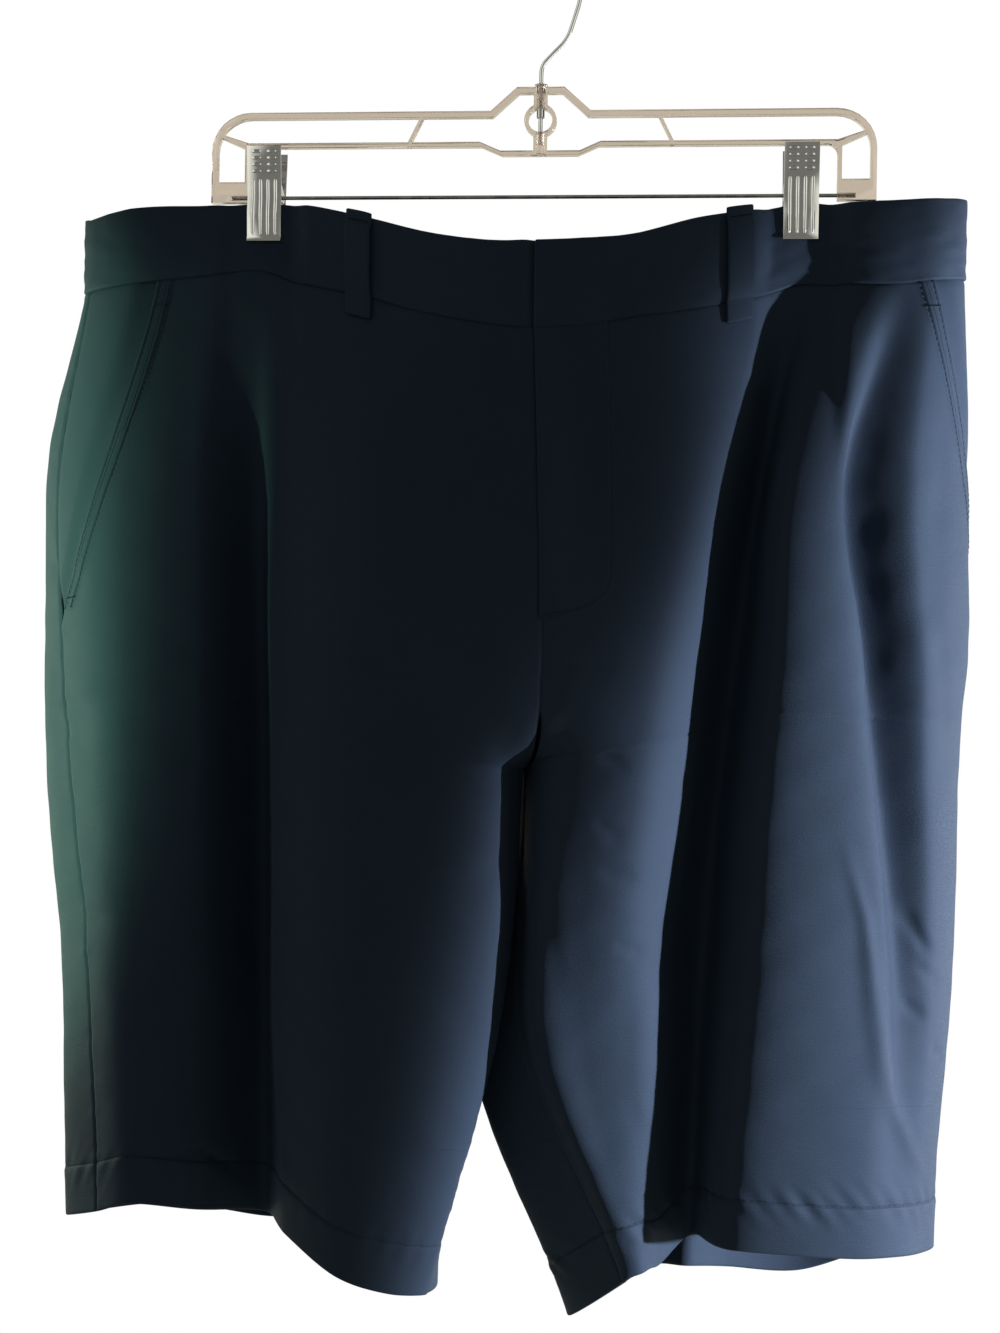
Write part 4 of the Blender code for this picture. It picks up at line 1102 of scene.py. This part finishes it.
clips = {                        # mm, from the clip's middle
    "face": ((-100.5, 10.1), (-119.0, 7.7), (-127.0, 6.5), (-135.0, 7.3), (-147.5, 6.4)),   # height, out
    "bumpRows": (-103.4, -106.8, -110.2, -113.6),
    "bumpColumns": (-4.1, 4.1),
    "bumpSize": (2.7, 0.7, 1.1),
    "bumpSunk": 0.1,
    "bumpTilt": 7.0,             # degrees, as the face there
    "fluteColumns": (-6.0, -2.0, 2.0, 6.0),
    "fluteFrom": -118.0,
    "fluteTo": -147.0,
    "fluteSteps": 16,
    "fluteRadius": 1.15,
    "fluteSunk": 0.50,
    "fluteEndSunk": 1.15,        # its ends run out into the face
    "springTurns": 9.0,
    "springRadius": 2.75,
    "springLength": 11.2,
    "springPlace": (-5.6, 0.0, -126.2),
    "wire": 0.55,
}
emboss, flute, spring = embossTree(), fluteTree(), springTree()


def onFace(middle, facing, x, z, sunk):
    # a point on the outside of a jaw, in metres
    heights, outs = zip(*clips["face"][::-1])
    return (middle + x) * 0.001, facing * (np.interp(z, heights, outs) - sunk) * 0.001, z * 0.001


for clipName, middle in clipPlaces.items():
    for jaw, facing in (("front", -1), ("back", 1)):
        jawName = clipName + jaw.title()
        softened(jawName + "Jaw", clipName + "_" + jaw, edges["jaw"], chromeMaterial)
        bumps = [onFace(middle, facing, x, z, clips["bumpSunk"])
                 for z in clips["bumpRows"] for x in clips["bumpColumns"]]
        grown(jawName + "Bumps", emboss, {
            "Size": [size * 0.001 for size in clips["bumpSize"]],
            "Tilt": -facing * math.radians(clips["bumpTilt"]), "Material": chromeMaterial}, [bumps])
        heights = np.linspace(clips["fluteFrom"], clips["fluteTo"], clips["fluteSteps"])
        sunk = np.full(len(heights), clips["fluteSunk"])
        sunk[[0, -1]] = clips["fluteEndSunk"]
        flutes = [[onFace(middle, facing, x, z, low) for z, low in zip(heights, sunk)]
                  for x in clips["fluteColumns"]]
        grown(jawName + "Flutes", flute,
              {"Radius": clips["fluteRadius"] * 0.001, "Material": chromeMaterial}, flutes)
    x, y, z = clips["springPlace"]
    coil = grown(clipName + "Spring", spring, {
        "Turns": clips["springTurns"], "Radius": clips["springRadius"] * 0.001,
        "Length": clips["springLength"] * 0.001, "Wire": clips["wire"] * 0.001,
        "Middle": ((middle + x) * 0.001, y, z * 0.001), "Material": wireMaterial})
    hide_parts(clipName + "_spring")
print("clips made")


# stitches

def stitchTree():
    # a bead laid along the line at every pitch
    tree, inputs = newTree("stitchRow", (
        ("Pitch", "Float", 0.003), ("Size", "Vector", (0.001, 0.0002, 0.0002))))
    line = addNode(tree, "GeometryNodeMeshToCurve", {0: inputs["Geometry"]})
    even = addNode(tree, "GeometryNodeResampleCurve", {0: line.outputs[0], "Length": inputs["Pitch"]},
                   mode="LENGTH")
    tangent = addNode(tree, "GeometryNodeInputTangent")
    turned = addNode(tree, "FunctionNodeAlignRotationToVector", {"Vector": tangent.outputs[0]}, axis="X")
    bead = addNode(tree, "GeometryNodeMeshUVSphere", {"Segments": 8, "Rings": 6, "Radius": 1.0})
    placed = addNode(tree, "GeometryNodeInstanceOnPoints", {
        "Points": even.outputs[0], "Instance": bead.outputs[0], "Rotation": turned.outputs[0],
        "Scale": inputs["Size"]})
    return finishTree(tree, inputs, placed.outputs[0])


stitch = stitchTree()
stitching = {
    "kinds": {                   # pitch, then half of a stitch's length, width and height, in metres
        "row": (0.0030, (0.00115, 0.00024, 0.00022)),
        "hem": (0.0034, (0.0010, 0.00026, 0.00020)),
        "bar": (0.0006, (0.00026, 0.0008, 0.00026)),
    },
    "lift": 0.05,                # mm that a row's middle lies above the cloth, and a hem's below it
    "flyBar": (0.8, 9.5),        # mm from the centre front
    "flyBarRise": 1.5,           # above the fly's end
    "pocketBar": (8.6, 0.6),     # mm from the slant opening
    "loopBar": 5.8,              # half its length
    "loopBarLevel": -0.955,
}


def surfaceLine(sheet, marks, lift=stitching["lift"]):
    # points on finished cloth through (along, down) marks in mm
    found = []
    for alongMm, downMm in marks:
        i = np.interp(downMm, sheet["down"][:, 0], np.arange(len(sheet["down"])))
        low = int(min(i, len(sheet["down"]) - 2))
        pair = []
        for row in (low, low + 1):
            j = np.interp(alongMm, sheet["along"][row], np.arange(len(sheet["along"][row])))
            left = int(min(j, len(sheet["along"][row]) - 2))
            share = j - left
            place, normal = (sheet[key][row, left] * (1 - share) + sheet[key][row, left + 1] * share
                             for key in ("outer", "normals"))
            pair.append(place + normal * lift)
        found.append((pair[0] * (low + 1 - i) + pair[1] * (i - low)) * 0.001)
    return found


sewn = {name: [] for name in clothPieces}


def sew(onto, name, kind, lines):
    pitch, size = stitching["kinds"][kind]
    row = grown(name, stitch, {"Pitch": pitch, "Size": size, "Material": threadMaterial}, lines)
    sewn[onto].append(row)


def barAcross(sheet, fromMm, toMm, downMm):
    # the line of a bar tack, level on the cloth
    return surfaceLine(sheet, [(x, downMm) for x in np.linspace(fromMm, toMm, 8)], 0.0)


width, curve, bottom = panels["flyWidth"], panels["flyCurve"], panels["flyEnd"] * panelLength
jMarks = [(width, d) for d in np.arange(1.5, bottom - curve, 1.5)]
jMarks += [(width - curve + curve * math.cos(a), bottom - curve + curve * math.sin(a))
           for a in np.radians(np.linspace(0, 90, 18))]
jMarks += [(x, bottom) for x in np.linspace(width - curve, 1.5, 12)[1:]]
sew("frontRight", "flyStitches", "row", [surfaceLine(panelSheets["frontRight"], jMarks)])
sew("frontRight", "flyBar", "bar", [barAcross(panelSheets["frontRight"], *stitching["flyBar"],
                                              bottom - stitching["flyBarRise"])])
for halfName in ("Left", "Right"):
    sheet = panelSheets["front" + halfName]
    keep = [i for i, v in enumerate(sheet["levels"]) if 0.002 < v < panels["pocketRowsEnd"]]
    rows = [surfaceLine(sheet, [(sheet["ends"][i] - inset, sheet["down"][i, 0]) for i in keep])
            for inset in panels["pocketRows"]]
    first, last = stitching["pocketBar"]
    bars = [barAcross(sheet, sheet["ends"][i] - first, sheet["ends"][i] - last, sheet["down"][i, 0])
            for i in (keep[6], keep[-3])]
    sew("front" + halfName, "pocketStitches" + halfName, "row", rows)
    sew("front" + halfName, "pocketBars" + halfName, "bar", bars)
for name, sheet in panelSheets.items():
    depth = panelLength - panels["turnUp"]
    row = int(np.argmin(abs(sheet["down"][:, 0] - depth)))
    marks = [(a, depth) for a in np.arange(sheet["starts"][row] + 2, sheet["ends"][row] - 2, 2.0)]
    hemLine = surfaceLine(sheet, marks, -stitching["lift"])
    sew(name, "hemStitches" + name[0].upper() + name[1:], "hem", [hemLine])
for name, sheet in loopSheets.items():
    reach, depth = stitching["loopBar"], stitching["loopBarLevel"] * bandHeight
    sew(name, name + "Bar", "bar", [barAcross(sheet, -reach, reach, depth)])
print("stitches made")


# studio: a pale floor well below, bright window light from the lower right, green garden light on the left

studio = {
    "floor": -1.9,
    "floorRadius": 2.6,
    "windowPower": 285.0,
    "gardenPower": 165.0,
    "sidePower": 9.0,            # wide weak lamps: behind on the right, behind on the left, and in front
    "leftPower": 6.0,
    "panelPower": 4.6,
    "mirroredAhead": 0.26,       # what the plated parts mirror from in front, and from either side
    "mirroredBeside": 1.35,
    "surroundingsBack": 0.75,    # what lights the cloth from all round
    "surroundingsFront": 0.03,
    "throughMiddle": 0.62,       # what shows through the clear plastic, and at the bends of its edges
    "throughEdges": 0.06,
}
floorMesh = bpy.data.meshes.new("floor")
rim = [(studio["floorRadius"] * math.cos(a), studio["floorRadius"] * math.sin(a), 0.0)
       for a in np.linspace(0, 2 * math.pi, 96, endpoint=False)]
floorMesh.from_pydata(rim, [], [list(range(96))])
paleFloor = newMaterial("paleFloor", {"Base Color": linearColour("#f2f2f0"), "Roughness": 0.7})[0]
floorMesh.materials.append(paleFloor)
floor = linked("floor", floorMesh)
floor.location.z = studio["floor"]


def lampOf(kind, name, power, code):
    lamp = bpy.data.lights.new(name, kind)
    lamp.energy = power
    lamp.color = linearColour(code)[:3]
    return linked(name, lamp)


def areaLight(name, place, target, size, power, code):
    obj = lampOf("AREA", name, power, code)
    obj.data.shape = "RECTANGLE"
    obj.data.size, obj.data.size_y = size
    obj.matrix_world = aimed(place, target)
    obj.visible_camera = False
    return obj


def pool(name, place, target, size, lean, edge, power, code):
    # a tall pool of light with a soft edge, as through a narrow window; its half width and height are sizes
    # at the target
    obj = lampOf("SPOT", name, power, code)
    obj.data.shadow_soft_size = 0.02
    obj.data.spot_size = 2 * math.atan(size[1] / (Vector(target) - Vector(place)).length)
    obj.data.spot_blend = edge
    obj.matrix_world = aimed(place, target, lean) @ Matrix.Diagonal((size[0] / size[1], 1, 1, 1))


pool("windowLight", (1.393, -0.522, -0.59), (0.26, 0.006, -0.55), (0.16, 0.50), -6, 0.35,
     studio["windowPower"], "#fffdf8")
pool("gardenLight", (-1.138, -0.939, -0.41), (-0.27, -0.040, -0.37), (0.075, 0.25), 0, 0.8,
     studio["gardenPower"], "#c4ffb4")
areaLight("sideLight", (1.4, 0.7, -0.6), (0.1, 0, -0.5), (0.5, 0.9), studio["sidePower"], "#f4f6ff")
areaLight("leftLight", (-1.4, 0.5, -0.45), (-0.2, 0, -0.45), (0.5, 0.6), studio["leftPower"], "#ddffd8")
panel = areaLight("panel", (-0.1, -1.75, 0.1), (0, 0, -0.15), (2.3, 1.5), studio["panelPower"], "#fff6e6")
panel.visible_glossy = False

world = bpy.data.worlds.new("surroundings")
bpy.context.scene.world = world
world.use_nodes = True
worldTree = world.node_tree
worldTree.nodes.clear()
direction = addNode(worldTree, "ShaderNodeTexCoord").outputs["Generated"]
axes = addNode(worldTree, "ShaderNodeSeparateXYZ", {0: direction}).outputs
glow = ranged(worldTree, axes[1], -0.1, 0.9, studio["surroundingsFront"], studio["surroundingsBack"])
bend = ranged(worldTree, axes[1], 0.35, 0.90, studio["throughEdges"], studio["throughMiddle"])
wall = ranged(worldTree, mathOf(worldTree, "ABSOLUTE", axes[0]), 0.34, 0.58,
              studio["mirroredAhead"], studio["mirroredBeside"])
shine = addNode(worldTree, "ShaderNodeMix", {0: ranged(worldTree, axes[1], -0.25, 0.1), 2: wall, 3: glow})
lit, through, mirrored, seen = (
    addNode(worldTree, "ShaderNodeBackground", {"Color": linearColour(code), "Strength": strength})
    for code, strength in (("#fcffcc", glow), ("#fff6f0", bend), ("#fffbe8", shine.outputs[0]),
                           ("#ffffff", 1.0)))
rays, blended = addNode(worldTree, "ShaderNodeLightPath"), lit
for kind, instead in (("Transmission", through), ("Glossy", mirrored), ("Camera", seen)):
    blended = addNode(worldTree, "ShaderNodeMixShader", {
        0: rays.outputs["Is " + kind + " Ray"], 1: blended.outputs[0], 2: instead.outputs[0]})
addNode(worldTree, "ShaderNodeOutputWorld", {0: blended.outputs[0]})
bpy.context.scene.view_settings.view_transform = "Standard"

print("studio made")
